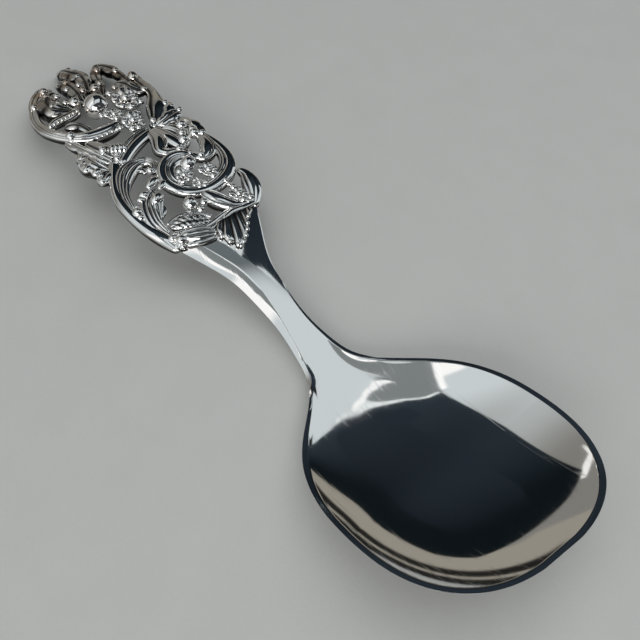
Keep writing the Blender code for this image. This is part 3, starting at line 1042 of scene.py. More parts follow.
@dataclass
class ShoulderWork(Openwork):
    """The palmette, reeds and pod on the shoulder, and the scroll to their left."""

    seat_lift: float = 0.25
    drop_radius: float = 0.5
    drop_lift: float = 1.9

    def castings(self) -> Shapes:
        """Lists what each piece is made of.

        Returns:
            The shapes of each piece, by the name of its solid.
        """
        return {
            "shoulder_strap": self.strap(),
            "shoulder_fan_leaf": self.fan(),
            "shoulder_reed_leaf": self.reeds(),
            "shoulder_knot": self.knot(),
            "seed_pod": self.pod(),
            "round_bud": [
                Bead(72.0, -1.7, 1.75, 0.5), Bead(73.3, 1.1, 1.0, 0.7), Bead(74.5, -0.6, 0.9, 0.6),
            ],
            "shoulder_flower": self.flower(),
            "left_shoulder_scroll": [
                Member(
                    ((68.6, 13.6, 0.7), (70.6, 14.3, 1.2), (73.0, 14.0, 1.8), (75.6, 13.1, 1.8),
                     (77.7, 11.8, 1.4), (79.6, 10.2, 0.9)),
                    Reeding.RIGHT_LINE, lift=0.2,
                ),
            ],
            "left_shoulder_leaf": [
                Member(
                    ((78.0, 9.8, 0.8), (77.0, 6.8, 1.3), (75.0, 4.8, 1.8), (72.4, 3.4, 1.7),
                     (70.0, 2.7, 0.9)),
                    Reeding.BORDERED, groove=0.5, crown=0.6, flat=0.4, lift=0.3,
                ),
            ],
        }

    def strap(self) -> list[Casting]:
        """Models the strap at the root of the palmette, with a bright rib on it.

        Returns:
            The strap and its rib.
        """
        route = (
            (79.2, 9.8, 0.9), (78.4, 6.0, 1.1), (78.6, 2.4, 1.1), (79.4, -1.4, 1.2), (79.0, -5.4, 1.3),
            (77.2, -10.2, 1.0),
        )
        rib = ((79.0, 11.0, 0.5), (79.0, 7.7, 0.75), (78.8, 4.7, 0.75), (79.5, 2.1, 0.5))
        return [Member(route, Reeding.PAIR, groove=0.4, lift=0.1), Member(rib, lift=0.9, flat=0.8)]

    def fan(self) -> list[Casting]:
        """Models the palmette, with drops along its scallops.

        Returns:
            The shell and its drops.
        """
        edge = (
            (80.8, 9.0), (82.6, 6.5), (84.6, 4.9), (86.4, 3.1), (88.0, 0.9), (86.2, -0.6), (83.8, -1.6),
            (81.6, -1.5),
        )
        drops = (
            (82.2, 6.7), (83.6, 5.5), (84.9, 4.5), (86.1, 3.3), (87.1, 1.9), (87.2, 0.4), (85.6, -0.7),
            (83.7, -1.5),
        )
        root = ((79.5, 9.2), (80.0, 0.0))
        return [Palmette(root, edge), *(Bead(*drop, self.drop_radius, self.drop_lift) for drop in drops)]

    def reeds(self) -> list[Casting]:
        """Models the bundle of reeds that leads to the knot.

        Returns:
            The reeds.
        """
        broad = ((82.0, -1.6, 0.9), (81.0, -3.8, 1.7), (79.9, -6.4, 1.7), (78.8, -8.8, 1.1))
        edge = ((83.0, -2.2, 0.5), (82.6, -4.4, 0.8), (81.9, -6.8, 0.8), (81.2, -9.0, 0.5))
        return [
            Member(broad, Reeding.FLUTED, groove=0.5, crown=0.5, lift=self.seat_lift, seat=Seat.BLANK),
            Member(edge, crown=0.8, lift=self.seat_lift, seat=Seat.BLANK),
        ]

    def knot(self) -> list[Casting]:
        """Models the knot of beads at the shoulder's right corner, with its tail.

        Returns:
            The beads and the tail.
        """
        tail = ((79.6, -9.6, 0.8), (80.4, -10.6, 0.9), (81.4, -11.2, 0.4))
        return [
            Bead(79.9, -9.4, 1.3, 1.2), Bead(78.3, -10.6, 0.9, 0.9), Bead(81.2, -9.9, 0.7, 1.0),
            Bead(78.6, -9.0, 0.7, 1.3), Member(tail, lift=0.5),
        ]

    def pod(self) -> list[Casting]:
        """Models the seed pod, with a plain border.

        Returns:
            The pod and its border.
        """
        seeds = ((77.8, -0.4, 0.7), (76.9, -2.6, 1.7), (75.8, -5.6, 1.9), (75.4, -9.2, 0.7))
        border = ((77.4, 0.4, 0.4), (75.0, -1.9, 0.5), (73.7, -5.2, 0.55), (74.4, -9.4, 0.4))
        return [Member(seeds, cells=7.0, crown=0.6, lift=0.4), Member(border, flat=0.9, lift=0.6)]

    def flower(self) -> list[Casting]:
        """Models the shoulder's flower and its beaded strand.

        Returns:
            The flower, stalk and beads.
        """
        beads = ((70.4, 9.0, 0.8), (71.8, 9.1, 0.7), (73.0, 9.3, 0.8), (77.3, 11.0, 0.9), (78.2, 9.9, 0.7))
        stalk = ((70.4, 8.8, 0.5), (71.0, 7.2, 0.6), (71.2, 5.0, 0.4))
        shapes: list[Casting] = [Rosette(75.3, 9.2, 2.3), Member(stalk, lift=0.3)]
        return shapes + [Bead(*bead, 0.7) for bead in beads]


@dataclass
class LeftSide(Openwork):
    """The large volute with its eye and flowers, and the leaves outside it."""

    polished: tuple[str, ...] = ("volute_eye",)

    def castings(self) -> Shapes:
        """Lists what each piece is made of.

        Returns:
            The shapes of each piece, by the name of its solid.
        """
        return {
            "left_volute": self.volute(),
            "volute_eye": [Bead(61.7, 4.8, 1.95, 0.6)],
            "volute_flower": [Rosette(65.8, 7.6, 2.4)],
            "volute_side_flower": [Rosette(68.0, 3.6, 1.8, turn=40.0)],
            "volute_lower_flower": [Rosette(64.3, 1.9, 2.3, turn=25.0)],
            "left_crescent_leaf": self.crescent(),
            "left_edge_leaf": [
                Member(
                    ((45.4, 13.2, 0.9), (48.4, 14.3, 1.3), (51.2, 14.6, 1.4), (54.6, 13.9, 0.9)),
                    lobes=3.0, cut=0.25, lift=0.2,
                ),
            ],
            "left_edge_bead": [
                Bead(53.0, 12.4, 1.3, 0.6), Bead(51.2, 13.0, 0.9, 0.5), Bead(54.0, 14.0, 0.9, 0.6),
            ],
            "left_loop_leaf": [
                Member(
                    ((45.8, 8.0, 0.7), (47.4, 9.6, 1.1), (49.4, 10.4, 1.2), (51.8, 10.2, 1.2),
                     (54.0, 9.0, 1.2), (55.4, 7.4, 0.8)),
                    Reeding.RIGHT_LINE, lift=0.1,
                ),
                Bead(51.6, 9.9, 1.0, 1.0), Bead(53.9, 8.8, 1.3, 0.9), Bead(56.1, 6.2, 1.0, 0.7),
            ],
            "left_bead": [Bead(48.6, 11.7, 1.35, 0.7)],
        }

    def volute(self) -> list[Casting]:
        """Models the spiral, with fine lines on the inside of its turn.

        Returns:
            The band and the line inside it.
        """
        band = (
            (52.8, 13.4, 0.9), (56.0, 14.1, 1.1), (60.0, 14.4, 1.3), (64.0, 13.8, 1.6), (67.0, 12.0, 1.8),
            (69.0, 8.9, 1.8), (69.8, 5.5, 1.6), (69.2, 1.8, 1.4), (67.0, -1.0, 1.4), (63.8, -2.2, 1.4),
            (60.5, -1.2, 1.4), (58.2, 1.2, 1.3), (57.6, 3.8, 1.2), (58.9, 6.2, 1.0), (61.6, 7.0, 0.7),
        )
        inner = (
            (66.4, 1.0, 0.4), (63.6, -0.2, 0.65), (61.0, 0.6, 0.75), (59.6, 2.6, 0.75), (59.6, 4.6, 0.7),
            (60.6, 6.0, 0.4),
        )
        return [
            Member(band, Reeding.RIGHT_LINES, tips=(0.0, 0.7)),
            Member(inner, flat=0.8, lift=0.3, tips=(0.0, 0.4)),
        ]

    def crescent(self) -> list[Casting]:
        """Models the crescent leaf that hooks round the upper opening.

        Returns:
            The leaf, its strand and beads.
        """
        leaf = (
            (53.8, 13.2, 0.9), (57.4, 12.8, 1.5), (59.9, 11.6, 1.7), (61.2, 9.8, 1.3), (60.0, 8.0, 1.0),
            (57.6, 7.2, 0.7),
        )
        strand = ((61.4, 10.0, 0.5), (60.9, 8.3, 0.7), (59.0, 7.3, 0.7), (56.4, 6.6, 0.5))
        return [
            Member(leaf, Reeding.LEFT_LINE, crown=0.65, lift=0.2),
            Member(strand, flat=0.8, lift=0.7),
            Bead(60.9, 8.9, 0.8, 1.1), Bead(59.0, 7.2, 0.7, 1.0),
        ]


@dataclass
class RightSide(Openwork):
    """The outer edge, the C-scroll with its acanthus, and the shell."""

    lobe_lift: float = 0.7
    lobe_flat: float = 0.8

    def castings(self) -> Shapes:
        """Lists what each piece is made of.

        Returns:
            The shapes of each piece, by the name of its solid.
        """
        return {
            "right_rim_scroll": [
                Member(
                    ((81.2, -10.6, 0.9), (77.0, -11.8, 1.5), (73.0, -13.3, 1.3), (68.0, -14.2, 1.1),
                     (63.0, -14.0, 1.1), (59.0, -12.7, 1.1), (55.0, -10.4, 1.3), (51.2, -8.0, 1.5)),
                    Reeding.RIGHT_LINE,
                ),
            ],
            "right_c_scroll": self.c_scroll(),
            "right_acanthus_leaf": self.acanthus(),
            "rim_bead": [
                Bead(68.2, -12.9, 1.2, 0.5), Bead(69.7, -13.0, 0.9, 0.4), Bead(67.0, -12.2, 0.7, 0.6),
            ],
            "right_shell_leaf": self.shell(),
            "right_shell_tip": [
                Member(
                    ((53.4, -10.4, 0.8), (54.2, -12.2, 1.5), (55.2, -13.6, 1.3), (56.2, -14.6, 0.6)),
                    Reeding.PAIR, groove=0.4, crown=0.65, lift=0.1,
                ),
                Bead(55.6, -14.0, 0.9, 0.5), Bead(53.9, -13.4, 1.0, 0.4),
            ],
            "right_long_leaf": [
                Member(
                    ((50.6, -8.6, 1.0), (47.0, -9.8, 1.3), (43.4, -11.0, 1.3), (40.0, -12.0, 1.2),
                     (36.8, -12.7, 0.7)),
                    Reeding.PAIR, groove=0.6, crown=0.5, flat=0.35, lobes=3.0, cut=0.2,
                ),
            ],
            "right_short_leaf": [
                Member(
                    ((49.4, -6.8, 1.0), (46.4, -7.2, 1.6), (43.2, -8.3, 1.5), (40.2, -9.2, 0.9)),
                    Reeding.LEFT_LINE, groove=0.5, crown=0.4, flat=0.3, lift=0.2, tone=0.4,
                ),
            ],
        }

    def c_scroll(self) -> list[Casting]:
        """Models the C-scroll, a broad fluted band that rolls up into a curl.

        Returns:
            The band, the line inside it and a bead.
        """
        band = (
            (59.0, -3.9, 0.7), (58.4, -2.0, 0.9), (56.4, -1.4, 1.0), (54.6, -3.0, 1.2), (54.8, -5.8, 1.7),
            (56.4, -8.5, 1.9), (59.2, -10.9, 1.5), (62.6, -12.5, 1.1), (66.8, -13.2, 0.8),
        )
        inner = (
            (58.6, -4.6, 0.45), (57.0, -4.8, 0.6), (56.6, -6.6, 0.7), (58.0, -8.8, 0.7), (60.6, -10.4, 0.45),
        )
        return [
            Member(band, Reeding.FINE, groove=0.35, crown=0.6, tips=(0.5, 0.0)),
            Member(inner, flat=0.8, lift=0.2),
            Bead(58.8, -3.6, 0.9, 0.9),
        ]

    def acanthus(self) -> list[Casting]:
        """Models the acanthus spray inside the C-scroll.

        Returns:
            The stem, its leaves and its lobes.
        """
        stem = (
            (76.6, -10.4, 0.9), (73.0, -11.2, 1.6), (69.6, -10.6, 1.8), (66.6, -9.0, 1.6), (64.8, -7.0, 1.2),
            (63.6, -5.6, 0.7),
        )
        outer = ((72.4, -9.6, 0.6), (69.6, -8.4, 1.0), (67.6, -7.2, 1.2), (66.4, -5.8, 0.7))
        curl = ((71.6, -9.4, 0.5), (70.8, -7.8, 0.6), (69.6, -7.4, 0.6), (69.4, -8.4, 0.35))
        return [
            Member(stem, Reeding.FINE, groove=0.4, crown=0.6),
            Member(outer, Reeding.PAIR, crown=0.7, lift=0.4),
            Member(curl, lift=0.4),
            Bead(62.3, -5.3, 1.15, self.lobe_lift, 1.9, 115.0, self.lobe_flat),
            Bead(64.0, -3.8, 0.85, self.lobe_lift, 2.0, 125.0, self.lobe_flat),
            Bead(67.2, -7.2, 1.35, self.lobe_lift + 0.3, 1.35, 120.0, self.lobe_flat),
            Bead(64.6, -8.9, 0.95, self.lobe_lift, 1.3, 60.0, self.lobe_flat),
            Bead(65.5, -10.3, 0.8, self.lobe_lift, 1.2, 60.0, self.lobe_flat),
        ]

    def shell(self) -> list[Casting]:
        """Models the shell, a fan of rolled lobes on the right edge.

        Returns:
            The shell's body and its lobes.
        """
        body = (
            (53.0, -10.6, 0.8), (50.6, -12.4, 2.0), (47.8, -13.1, 2.1), (45.0, -12.8, 1.4),
            (43.0, -12.0, 0.7),
        )
        lobes = ((45.6, -13.2, 75.0), (47.4, -14.0, 85.0), (49.6, -14.2, 100.0), (51.8, -13.2, 115.0))
        return [
            Member(body, Reeding.FLUTED, groove=0.5, crown=0.5, lobes=3.0, cut=0.2),
            *(Bead(x, y, 0.95, 0.4, 1.5, turn, self.lobe_flat) for x, y, turn in lobes),
        ]


@dataclass
class Waist(Openwork):
    """The strap with its binding, the hub's leaves and the flower above them."""

    knot_ribs: float = 2.5

    def castings(self) -> Shapes:
        """Lists what each piece is made of.

        Returns:
            The shapes of each piece, by the name of its solid.
        """
        return {
            "centre_strap": [
                Member(
                    ((45.2, 5.2, 1.3), (46.4, 1.8, 1.6), (48.0, -1.6, 1.7), (50.2, -4.8, 1.6),
                     (52.6, -7.8, 1.4)),
                    Reeding.RIGHT_LINES, groove=0.4, lift=0.1,
                ),
            ],
            "binding_knot": [
                Bead(48.0, -5.3, 1.7, 1.0, 1.5, 65.0, 0.9, self.knot_ribs),
                Bead(46.0, -8.2, 0.9, 0.9), Bead(51.0, -7.4, 0.8, 1.1),
            ],
            "hub_upper_leaf": [
                Member(
                    ((45.2, 6.0, 0.8), (49.0, 6.4, 1.4), (52.5, 7.0, 1.5), (56.0, 7.6, 0.9)),
                    Reeding.LEFT_LINE, crown=0.65, lift=0.3,
                ),
            ],
            "hub_lower_leaf": [
                Member(
                    ((45.4, 4.8, 0.9), (48.5, 4.6, 1.5), (51.5, 3.7, 1.7), (54.2, 2.5, 1.2),
                     (55.6, 3.6, 0.9), (56.2, 5.6, 0.8)),
                    Reeding.BORDERED, groove=0.4, crown=0.65, lift=0.3, tips=(0.0, 0.4),
                ),
            ],
            "hub_left_leaf": [
                Member(
                    ((45.0, 7.2, 0.9), (44.7, 9.6, 1.7), (44.0, 12.2, 1.9), (43.1, 15.0, 0.9)),
                    Reeding.PAIR, groove=0.35, crown=0.6, lobes=3.0, cut=0.25, lift=0.5,
                ),
                Bead(42.9, 15.0, 0.9, 0.7),
            ],
            "left_lobe_leaf": [
                Member(
                    ((43.4, 11.0, 0.9), (41.6, 12.8, 1.4), (39.6, 14.0, 1.4), (37.4, 14.6, 0.8)),
                    crown=0.6, lobes=3.0, cut=0.25, lift=0.3,
                ),
                Bead(38.3, 13.9, 0.9, 0.8), Bead(40.4, 14.4, 0.8, 0.6),
            ],
            "centre_flower": [
                Rosette(40.3, 3.6, 3.1, lift=0.7), Bead(42.8, 1.9, 1.1, 0.8), Bead(37.9, 6.2, 1.0, 0.9),
                Bead(40.7, -0.2, 0.7, 0.8),
            ],
        }


@dataclass
class Tail(Openwork):
    """The rims round the tail, its boss, leaves, flowers and beads."""

    polished: tuple[str, ...] = ("fruit_boss",)
    pearl: float = 0.55
    # How much the tail's leaves and its left rim are darkened all over.
    tail_darkening: float = 0.45
    bead_lift: float = 0.9

    def castings(self) -> Shapes:
        """The shapes of all the tail's pieces, by the names of their solids."""
        return {**self.rims(), **self.leaves(), **self.blooms()}

    def pearls(self, first: Point, last: Point, count: int, lift: float) -> list[Casting]:
        """A row of small beads.

        Args:
            first: Station and offset of the first.
            last: Station and offset of the last.
            count: How many there are.
            lift: Their lift.

        Returns:
            The beads.
        """
        places = np.linspace(first, last, count)
        return [Bead(x, y, self.pearl, lift) for x, y in places.tolist()]

    def rims(self) -> Shapes:
        """Models the scrolls round the tail.

        Returns:
            Their shapes, by the names of their solids.
        """
        right = (
            (37.6, 1.4, 1.0), (38.9, -1.2, 1.5), (39.3, -4.2, 1.7), (38.7, -7.4, 1.6), (37.0, -10.4, 1.4),
            (34.4, -12.6, 1.3), (31.2, -14.0, 1.3), (27.8, -14.5, 1.2), (24.4, -14.0, 1.1),
            (21.4, -12.9, 1.1), (18.4, -11.5, 1.1), (15.6, -9.6, 1.1), (13.3, -7.6, 1.0), (12.2, -5.9, 0.85),
            (13.0, -4.7, 0.7), (14.4, -4.8, 0.6),
        )
        left = (
            (44.6, 6.6, 1.0), (41.8, 8.9, 1.4), (38.6, 11.2, 2.2), (35.2, 13.1, 1.9), (31.8, 14.4, 1.4),
            (28.4, 14.8, 1.3), (25.2, 14.8, 1.2), (22.4, 15.0, 1.1), (20.4, 14.6, 0.85),
        )
        inner = (
            (27.2, -3.8, 1.0), (28.0, -6.2, 1.2), (28.4, -9.0, 1.2), (28.8, -11.2, 1.1), (29.4, -13.0, 0.8),
        )
        return {
            "tail_right_rim": [
                Member(right, Reeding.LEFT_LINES), Bead(36.5, -11.2, 1.2, 0.8), Bead(19.7, -11.8, 1.0, 0.7),
                *self.pearls((40.5, -1.0), (40.6, -6.4), 5, 0.6),
            ],
            "tail_left_rim": [
                Member(left, Reeding.LEFT_LINE, flat=0.4, tone=self.tail_darkening), Bead(42.8, 7.5, 0.8, 0.9),
            ],
            "tail_inner_band": [
                Member(inner, Reeding.PAIR, lift=0.1), *self.pearls((27.9, -4.6), (29.9, -12.8), 8, 0.8),
            ],
        }

    def leaves(self) -> Shapes:
        """Models the leaves inside the tail.

        Returns:
            Their shapes, by the names of their solids.
        """
        routes = {
            "ring_oval_leaf": (
                0.1, 2.0, ((32.0, -10.4, 0.8), (32.3, -8.6, 1.2), (33.9, -7.0, 1.2), (37.4, -6.3, 0.7)),
            ),
            "tail_middle_leaf": (
                0.3, 5.0,
                ((21.4, 2.4, 0.9), (17.4, 3.6, 1.7), (13.4, 4.2, 2.2), (9.6, 3.3, 2.3), (6.8, 3.0, 1.7),
                 (4.6, 2.5, 0.7)),
            ),
            "tail_left_leaf": (
                0.1, 8.0,
                ((24.6, 12.7, 0.8), (20.8, 12.6, 1.1), (17.0, 12.7, 1.4), (13.4, 12.2, 1.6),
                 (10.5, 10.9, 1.2), (12.6, 9.3, 1.3), (15.4, 7.8, 1.3), (18.8, 6.8, 1.1), (22.2, 5.6, 1.0),
                 (25.2, 4.2, 0.7)),
            ),
            "tail_inner_leaf": (
                0.3, 4.0,
                ((25.4, -1.2, 0.9), (21.4, -0.7, 1.6), (17.4, -0.4, 1.8), (14.2, -0.8, 1.7),
                 (11.6, -1.6, 0.8)),
            ),
            "tail_left_inner_leaf": (
                0.4, 3.0,
                ((30.2, 13.8, 0.8), (29.0, 12.0, 1.4), (26.6, 10.9, 1.8), (24.2, 10.2, 1.7),
                 (22.4, 9.1, 0.8)),
            ),
            "tail_right_leaf": (
                0.2, 5.0,
                ((27.0, -4.8, 0.9), (25.2, -7.8, 2.2), (22.6, -9.2, 2.5), (19.4, -8.2, 2.1),
                 (17.2, -6.2, 1.5), (16.2, -4.0, 0.9)),
            ),
        }
        beads = {
            "tail_middle_leaf": [(13.6, 3.6, 1.1), (17.4, 1.8, 0.9), (7.0, 4.4, 0.9)],
            "tail_left_leaf": [(13.2, 9.4, 1.0), (17.2, 12.6, 1.0), (20.2, 6.2, 0.8)],
            "tail_inner_leaf": [(14.2, 0.0, 1.1), (20.5, 1.2, 1.0), (17.4, -1.6, 0.8)],
            "tail_left_inner_leaf": [(27.3, 9.6, 0.9), (29.8, 13.2, 0.9), (24.4, 8.0, 0.9)],
            "tail_right_leaf": [
                (22.8, -8.4, 1.1), (18.9, -5.2, 0.9), (17.4, -7.4, 1.1), (23.0, -5.0, 0.9),
                (22.0, -6.6, 0.8),
            ],
        }
        made: Shapes = {}
        for node, (lift, lobes, route) in routes.items():
            leaf = Member(
                route, Reeding.PAIR, groove=0.35, crown=0.6, lobes=lobes, cut=0.25, lift=lift,
                tone=self.tail_darkening,
            )
            made[node] = [leaf, *(Bead(*bead, self.bead_lift) for bead in beads.get(node, []))]
        return made

    def blooms(self) -> Shapes:
        """Models the boss, flowers and beads of the tail.

        Returns:
            Their shapes, by the names of their solids.
        """
        return {
            "fruit_boss": [Bead(28.7, 0.1, 3.15, 0.6)],
            "ring_flower": [Rosette(34.8, 1.6, 2.3), Bead(33.4, -1.0, 0.8, 0.8), Bead(36.6, 1.2, 0.8, 0.9)],
            "left_flower": [
                Rosette(30.9, 7.2, 3.9), Bead(34.0, 9.6, 0.9, 0.8), Bead(26.2, 5.4, 1.1, 0.8),
            ],
            "tail_left_bead": [Bead(22.8, 14.2, 1.4, 0.9, 1.3, -15.0)],
            "tail_right_bead": [Bead(13.7, -6.2, 1.25, 0.5)],
            "tail_middle_bead": [Bead(21.8, 3.9, 1.4, 0.8)],
            "tail_ring_bead": [Bead(24.2, -3.2, 1.6, 0.6)],
        }


@dataclass(frozen=True)
class PhotoView:
    """The camera, at a station, offset and height."""

    eye: Point = (198.79, -86.25, 160.66)
    target: Point = (111.87, 3.52, 6.40)
    roll: float = 8.59
    focal_pixels: float = 950.0
    frame_pixels: float = 640.0
    sensor: float = 36.0
    clip_start: float = 0.005

    def place(self) -> None:
        """Adds the camera."""
        eye, target = (Vector(FORM.place(*point)[0]) for point in (self.eye, self.target))
        forward = (target - eye).normalized()
        level = forward.cross(Vector((0, 0, 1))).normalized()
        rise = level.cross(forward)
        turn = math.radians(self.roll)
        right = math.cos(turn) * level + math.sin(turn) * rise
        above = -math.sin(turn) * level + math.cos(turn) * rise
        data = bpy.data.cameras.new("photo_view")
        data.sensor_width = self.sensor
        data.lens = self.focal_pixels / self.frame_pixels * self.sensor
        data.clip_start = self.clip_start
        camera = bpy.data.objects.new("photo_view", data)
        columns = Matrix((right, above, -forward)).transposed().to_4x4()
        camera.matrix_world = Matrix.Translation(eye) @ columns
        bpy.context.scene.collection.objects.link(camera)
        bpy.context.scene.camera = camera


@dataclass(frozen=True)
class Card:
    """A flat card over the spoon that only reflections show.

    Its corners are in metres. It may fade to a second colour, between two distances towards the tail.
    """

    height: float
    corners: tuple[Point, ...]
    near: Point
    far: Point | None = None
    fade: Point = (0.1, 0.6)

    def hang(self) -> None:
        """Adds the card."""
        deselect()
        bpy.ops.mesh.primitive_circle_add(vertices=len(self.corners), fill_type="NGON")
        card = bpy.context.object
        card.name = "card"
        card.data.vertices.foreach_set("co", np.ravel([(*corner, self.height) for corner in self.corners]))
        made = bpy.data.materials.new("card")
        graph = Graph(made)
        place = graph.node("ShaderNodeTexCoord", out="Object")
        back = graph.node("ShaderNodeSeparateXYZ", None, {0: place}, out="X") * -1.0
        far = self.far or self.near
        colour = graph.blend(graph.between(back, *self.fade), (*self.near, 1), (*far, 1))
        glow = graph.node("ShaderNodeEmission", None, {"Color": colour})
        graph.node("ShaderNodeOutputMaterial", None, {"Surface": glow})
        card.data.materials.append(made)
        card.visible_camera = card.visible_diffuse = card.visible_shadow = False


@dataclass(frozen=True)
class Studio:
    """Floor, soft light, and the cards and room that the polished silver mirrors.

    The cards are named for where the spoon shows them; the stem's dark is also that of the lip and of
    the bowl's middle. The room's steps are pairs of values of a direction's part ahead, to the left or
    upwards: where a tone isn't there, and where it is there in full.
    """

    floor_size: float = 3.0
    key_place: Point = (0.10, 0.30, 1.60)
    key_size: Point = (2.2, 2.2)
    key_power: float = 10.5
    window_place: Point = (0.76, -0.76, 0.52)
    window_size: Point = (0.9, 0.5)
    window_power: float = 7.0
    bowl_dark: Card = Card(
        0.35,
        ((-0.142, -0.013), (-0.25, 0.020), (-0.53, 0.085), (-0.71, 0.28), (-1.0, 0.63), (-1.15, 0.97),
         (-1.0, 1.15), (-0.75, 1.12), (-0.70, 1.3), (-0.60, 2.2), (-0.18, 2.2), (-0.147, 0.8),
         (-0.156, 0.42), (-0.168, 0.22), (-0.158, 0.158), (-0.143, 0.08), (-0.150, 0.03)),
        (0.024, 0.034, 0.045), (0.004, 0.007, 0.009), (0.1, 0.5),
    )
    stem_dark: Card = Card(
        0.10,
        ((-0.043, 0.036), (-0.050, 0.036), (-0.057, 0.052), (-0.08, 0.060), (-0.14, 0.10), (-0.14, 0.13),
         (-0.048, 0.13), (-0.0455, 0.055), (-0.0445, 0.045)),
        (0.018, 0.025, 0.034), (0.004, 0.007, 0.009), (0.03, 0.14),
    )
    dark_edge: Card = Card(
        0.349,
        ((-0.142, -0.010), (-0.135, -0.010), (-0.142, 0.03), (-0.136, 0.08), (-0.150, 0.158),
         (-0.160, 0.22), (-0.148, 0.42), (-0.156, 0.42), (-0.168, 0.22), (-0.158, 0.158), (-0.143, 0.08),
         (-0.150, 0.03)),
        (0.80, 0.85, 0.86),
    )
    heel_streak: Card = Card(
        1.0,
        ((-0.13, -0.04), (-0.19, 0.07), (-0.287, 0.233), (-0.418, 0.526), (-0.458, 0.70), (-0.478, 0.70),
         (-0.440, 0.526), (-0.309, 0.233), (-0.21, 0.06), (-0.16, -0.03)),
        (0.98, 1.0, 1.0),
    )
    side_streak: Card = Card(
        1.0,
        ((0.30, -0.592), (0.10, -0.453), (-0.113, -0.305), (-0.277, -0.185), (-0.40, -0.09),
         (-0.40, -0.14), (-0.277, -0.235), (-0.113, -0.355), (0.10, -0.503), (0.30, -0.642)),
        (1.05, 1.05, 1.05),
    )
    heel_grey: Card = Card(
        1.05,
        ((0.34, -0.50), (0.12, -0.30), (-0.08, -0.10), (-0.307, 0.233), (-0.45, 0.55), (-0.45, -0.08),
         (-0.377, -0.12), (0.10, -0.48), (0.34, -0.63)),
        (0.20, 0.22, 0.225),
    )
    stem_grey: Card = Card(
        0.05,
        ((-0.058, -0.002), (-0.058, 0.010), (-0.046, 0.017), (-0.043, 0.021), (-0.038, 0.030),
         (-0.034, 0.030), (-0.032, 0.022), (-0.036, 0.014), (-0.042, -0.004)),
        (0.60, 0.65, 0.67), (0.13, 0.15, 0.16), (0.034, 0.043),
    )
    tip_line: Card = Card(
        0.349,
        ((-0.40, -0.03), (-0.46, -0.035), (-0.52, 0.04), (-0.60, 0.13), (-0.585, 0.138), (-0.50, 0.06),
         (-0.46, 0.0)),
        (0.9, 0.9, 0.88),
    )
    sky: Point = (0.60, 0.65, 0.67, 1.0)
    day: Point = (1.0, 1.0, 1.0, 1.0)
    dusk: Point = (0.21, 0.205, 0.19, 1.0)
    beige: Point = (0.30, 0.28, 0.24, 1.0)
    gloom: Point = (0.012, 0.012, 0.011, 1.0)
    shade: Point = (0.04, 0.042, 0.045, 1.0)
    backdrop: Point = (0.43, 0.43, 0.42, 1.0)
    skirting_top: Point = (0.10, 0.075)
    ledge_foot: Point = (0.035, 0.045)
    ledge_top: Point = (0.065, 0.055)
    band_foot: Point = (0.10, 0.12)
    band_top: Point = (0.255, 0.235)
    far_lean: float = 0.25
    far_step: Point = (0.0, -0.03)
    back_lean: float = 0.05
    back_step: Point = (0.0, -0.02)
    back_side: Point = (-0.05, 0.0)
    dusk_step: Point = (-0.45, -0.80)
    shade_step: Point = (0.30, 0.42)
    day_side: Point = (-0.08, -0.18)
    day_front: Point = (0.12, 0.05)
    day_back: Point = (-0.24, -0.17)

    def cards(self) -> tuple[Card, ...]:
        """Lists the cards.

        Returns:
            The darks first, then the lines and greys beside them.
        """
        return (
            self.bowl_dark, self.stem_dark, self.dark_edge, self.heel_streak, self.side_streak,
            self.heel_grey, self.stem_grey, self.tip_line,
        )

    def floor(self) -> None:
        """Adds the floor that the spoon lies on."""
        deselect()
        bpy.ops.mesh.primitive_plane_add(size=self.floor_size)
        floor = bpy.context.object
        floor.name = "floor"
        floor.data.materials.append(StoneFinish().material())

    @staticmethod
    def lamp(name: str, size: Point, power: float, place: Point) -> bpy.types.Object:
        """Hangs a soft lamp that faces the spoon.

        Args:
            name: The lamp's name.
            size: Its length and width in metres.
            power: Its power in watts.
            place: Where it hangs, in metres.

        Returns:
            The lamp.
        """
        data = bpy.data.lights.new(name, "AREA")
        data.shape = "RECTANGLE"
        data.size, data.size_y = size
        data.energy = power
        lamp = bpy.data.objects.new(name, data)
        lamp.location = place
        lamp.rotation_euler = (-Vector(place)).to_track_quat("-Z", "Y").to_euler()
        bpy.context.scene.collection.objects.link(lamp)
        return lamp

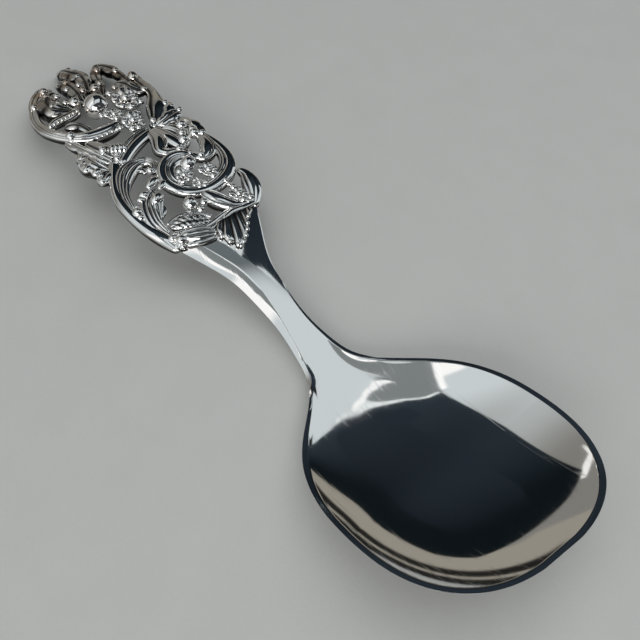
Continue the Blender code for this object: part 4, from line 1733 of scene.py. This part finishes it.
    def lamps(self) -> None:
        """Hangs the key lamp, which the silver doesn't mirror, and the window, which it does."""
        key = self.lamp("key", self.key_size, self.key_power, self.key_place)
        key.visible_glossy = False
        self.lamp("window", self.window_size, self.window_power, self.window_place)

    def world(self) -> None:
        """Lights the room: pale above, dim ahead and behind, a beige band and ledge, a dark skirting."""
        room = bpy.data.worlds.new("room")
        bpy.context.scene.world = room
        graph = Graph(room)
        away = graph.node("ShaderNodeTexCoord", out="Generated")
        parts = [graph.node("ShaderNodeSeparateXYZ", None, {0: away}, out=axis) for axis in "XYZ"]
        ahead, left, rise = parts
        behind = graph.between(ahead + left * self.back_lean, *self.back_step)
        behind = behind * graph.between(left, *self.back_side)
        far = graph.between(ahead + left * self.far_lean, *self.far_step)
        band = graph.between(rise, *self.band_foot) * far
        ledge = graph.between(rise, *self.ledge_foot) * graph.between(rise, *self.ledge_top) * far
        low = graph.blend(band, self.gloom, self.beige)
        above = graph.blend(graph.between(ahead, *self.dusk_step), self.sky, self.dusk)
        bright = graph.between(left, *self.day_side) * graph.between(ahead, *self.day_front)
        above = graph.blend(bright * graph.between(ahead, *self.day_back), above, self.day)
        above = graph.blend(graph.between(ahead, *self.shade_step), above, self.shade)
        colour = graph.blend(graph.between(rise, *self.band_top) * behind, above, low)
        colour = graph.blend(graph.between(rise, *self.skirting_top), colour, self.gloom)
        colour = graph.blend(ledge, colour, self.beige)
        seen = graph.node("ShaderNodeLightPath", out="Is Camera Ray")
        colour = graph.blend(seen, colour, self.backdrop)
        back = graph.node("ShaderNodeBackground", None, {"Color": colour, "Strength": 1.0})
        graph.node("ShaderNodeOutputWorld", None, {"Surface": back})

    def build(self) -> None:
        """Sets the studio up."""
        self.floor()
        for card in self.cards():
            card.hang()
        self.lamps()
        self.world()
        bpy.context.scene.view_settings.view_transform = "Standard"


def main() -> None:
    """Builds the spoon's pieces, dresses them and sets up the view."""
    logging.basicConfig(level=logging.INFO, format="%(message)s")
    PhotoView().place()
    Studio().build()
    for group in (ForgedBlank(), ShoulderWork(), LeftSide(), RightSide(), Waist(), Tail()):
        group.dress(group.build())


if __name__ == "__main__":
    main()
